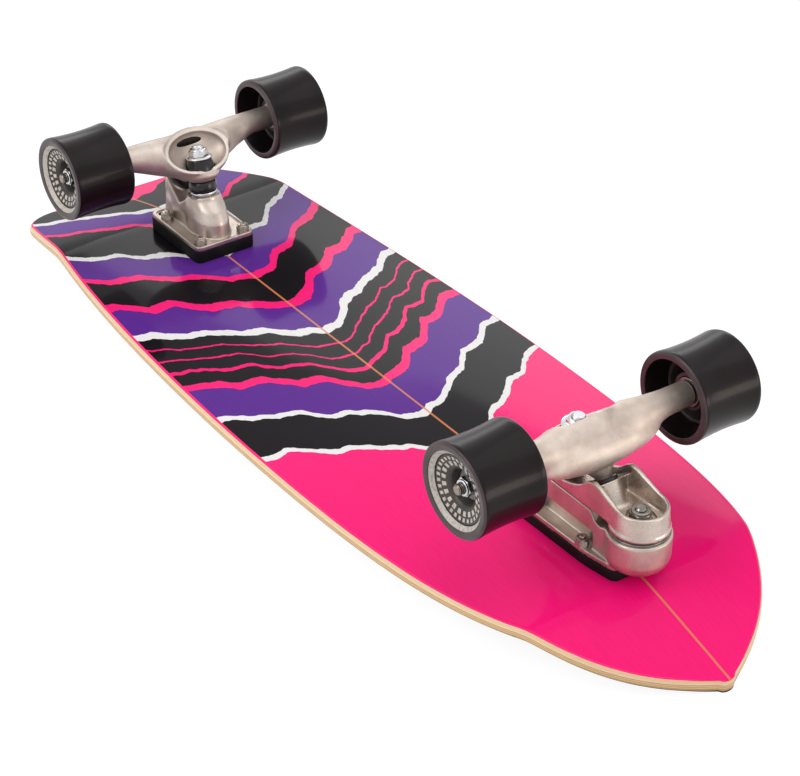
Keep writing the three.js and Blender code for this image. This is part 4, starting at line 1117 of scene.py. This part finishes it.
def make_looks():
    rims = {name: [(truck(name) @ ON_WINDOW, WORN_WINDOW)] for name in ("front", "rear")}
    tilt = {name: tuple((truck(name) @ ON_KINGPIN).to_3x3() @ Vector((0, 0, 1))) for name in rims}
    bright, shade = (0.78, 0.79, 0.81), (0.45, 0.46, 0.48)
    return {
        "front_hanger": cast_metal("cast_hanger_front", rims["front"], 1.18, 1.3),
        "rear_hanger": cast_metal("cast_hanger_rear", rims["rear"], 1.1, 1.15),
        "rear_base": cast_metal("cast_rear_base", (), 1.0, 0.8),
        "front_base": cast_metal("cast_front_base", (), 1.0, 0.85),
        "arm": cast_metal("cast_arm", (), 1.05, 0.7),
        "zinc": metal("zinc_plate", bright, (0.6, 0.61, 0.62), 0.22),
        "chrome": metal("bright_plate", (0.72, 0.72, 0.73), (0.5, 0.5, 0.51), 0.16),
        "steel": metal("polished_steel", (0.4, 0.385, 0.37), (0.25, 0.24, 0.23), 0.3),
        "cage": metal("dark_cage", (0.07, 0.065, 0.06), (0.03, 0.028, 0.026), 0.35),
        "dark_nut": metal("dark_nut_plate", (0.42, 0.39, 0.36), (0.16, 0.145, 0.13), 0.2, 0.0001, 300.0),
        "bolt": threaded("bolt_plate", (0, 0, 1), 0.8, (0.5, 0.46, 0.41), (0.25, 0.22, 0.19)),
        "axle": axle_metal(),
        "front_thread": threaded("kingpin_front", tilt["front"], 1.5, bright, shade),
        "rear_thread": threaded("kingpin_rear", tilt["rear"], 1.5, bright, shade),
        "bushing": rubber("bushing_urethane", (0.009, 0.008, 0.009), 0.3, 0.3),
        "riser": rubber("riser_rubber", (0.005, 0.0045, 0.005), 0.5, 0.0, 500.0, 0.0001, 0.1),
        "core": rubber("core_plastic", (0.035, 0.028, 0.024), 0.42, 0.1, 900.0, 0.00005),
        "urethane": urethane(),
        "lip": lip_urethane(),
        "band": band(),
        "lacquer": lacquer(),
        "plies": plywood(),
        "grit": grit(),
    }


def keep_solids(looks):
    """Solids that are shown as they are, with finer materials."""
    kept = {"return_spring": "steel", "spring_cup": "bushing", "spring_adjuster": "zinc",
            "front_pivot_cup": "bushing", "rear_pivot_cup": "bushing"}
    for name, look in kept.items():
        obj = frame["nodes"][name]
        obj.data.materials.clear()
        obj.data.materials.append(looks[look])
        smooth(obj, 50)


# Studio: pale floor, soft lights and the photo's camera

def shader_node(tree, kind, *values):
    """A node with its first inputs set or linked."""
    node = tree.nodes.new("ShaderNode" + kind)
    for socket, value in zip(node.inputs, values):
        if isinstance(value, bpy.types.NodeSocket):
            tree.links.new(value, socket)
        else:
            socket.default_value = value
    return node.outputs[0] if node.outputs else None


def clear_rays(tree):
    """1 for camera, glossy and transmission rays."""
    path = tree.nodes.new("ShaderNodeLightPath")
    total = path.outputs["Is Camera Ray"]
    for name in ("Is Glossy Ray", "Is Transmission Ray"):
        total = shader_node(tree, "Math", total, path.outputs[name])
        total.node.operation = "MAXIMUM"
    return total


def studio_surface(name, color):
    """Near white to the camera, with a faint shadow, and a pale matte surface to other rays."""
    material = bpy.data.materials.new(name)
    material.use_nodes = True
    tree = material.node_tree
    tree.nodes.clear()
    matte = shader_node(tree, "BsdfDiffuse", (*color, 1))
    faint = shader_node(tree, "BsdfDiffuse", (0.2, 0.2, 0.2, 1))
    seen = shader_node(tree, "AddShader", faint, shader_node(tree, "Emission", (1, 1, 1, 1), 0.9))
    shader_node(tree, "OutputMaterial", shader_node(tree, "MixShader", clear_rays(tree), matte, seen))
    return material


def world(strength):
    made = bpy.data.worlds.new("studio")
    bpy.context.scene.world = made
    made.use_nodes = True
    tree = made.node_tree
    tree.nodes.clear()
    soft, white = (shader_node(tree, "Background", (1, 1, 1, 1), power) for power in (strength, 1))
    shader_node(tree, "OutputWorld", shader_node(tree, "MixShader", clear_rays(tree), soft, white))


def softbox(name, place_at, width, height, power, color=(1, 1, 1), target=(0, 0, 0.06)):
    light = bpy.data.lights.new(name, "AREA")
    light.color = color
    light.shape = "RECTANGLE"
    light.size = width
    light.size_y = height
    light.energy = power
    obj = bpy.data.objects.new(name, light)
    bpy.context.scene.collection.objects.link(obj)
    obj.location = place_at
    obj.rotation_euler = (Vector(target) - Vector(place_at)).to_track_quat("-Z", "Y").to_euler()


def studio():
    reach = 9000
    corners = [(-reach, -reach, 0), (reach, -reach, 0), (reach, reach, 0), (-reach, reach, 0)]
    floor = mesh_object("floor", corners, [(0, 1, 2, 3)])
    floor.data.materials.append(studio_surface("floor_pale", (0.85, 0.85, 0.85)))
    world(0.55)
    softbox("key", (-0.3, -1.7, 1.4), 1.6, 1.2, 22)
    softbox("back", (-1.7, 1.3, 1.1), 1.4, 0.6, 7)
    softbox("top", (0.5, 0.4, 2.0), 2.0, 2.0, 10)
    softbox("nose", (1.55, 0.85, 0.2), 0.8, 0.4, 5.2, (1, 0.86, 0.74), (0.26, 0, 0.1))


EYE = (1.1655, -0.8333, 0.9704)
FORWARD = (-0.6708, 0.4941, -0.553)
UP = (-0.4541, 0.3158, 0.8331)
LENS = 99.4


def camera():
    data = bpy.data.cameras.new("photo")
    obj = bpy.data.objects.new("photo", data)
    scene = bpy.context.scene
    scene.collection.objects.link(obj)
    data.sensor_fit = "HORIZONTAL"
    data.sensor_width = 36
    data.lens = LENS
    forward = Vector(FORWARD).normalized()
    right = forward.cross(Vector(UP)).normalized()
    turned_to = Matrix((right, right.cross(forward), -forward)).transposed().to_4x4()
    obj.matrix_world = Matrix.Translation(EYE) @ turned_to
    scene.camera = obj
    scene.view_settings.view_transform = "Standard"


looks = make_looks()
piece(deck(), "deck_board", "deck", [looks["lacquer"], looks["plies"]], "deck_wood", "deck")
piece(grip(), "grip_sheet", "deck", looks["grit"], "grip", "grip_tape")
rear_casting = place(rear_base(), truck("rear"))
piece(rear_casting, "rear_base_cast", "deck", looks["rear_base"], "cast_aluminium", "rear_baseplate")
build_front(looks)
build_pads(looks)
build_trucks(looks)
build_wheels(looks)
mounting_bolts(looks)
keep_solids(looks)
studio()
camera()
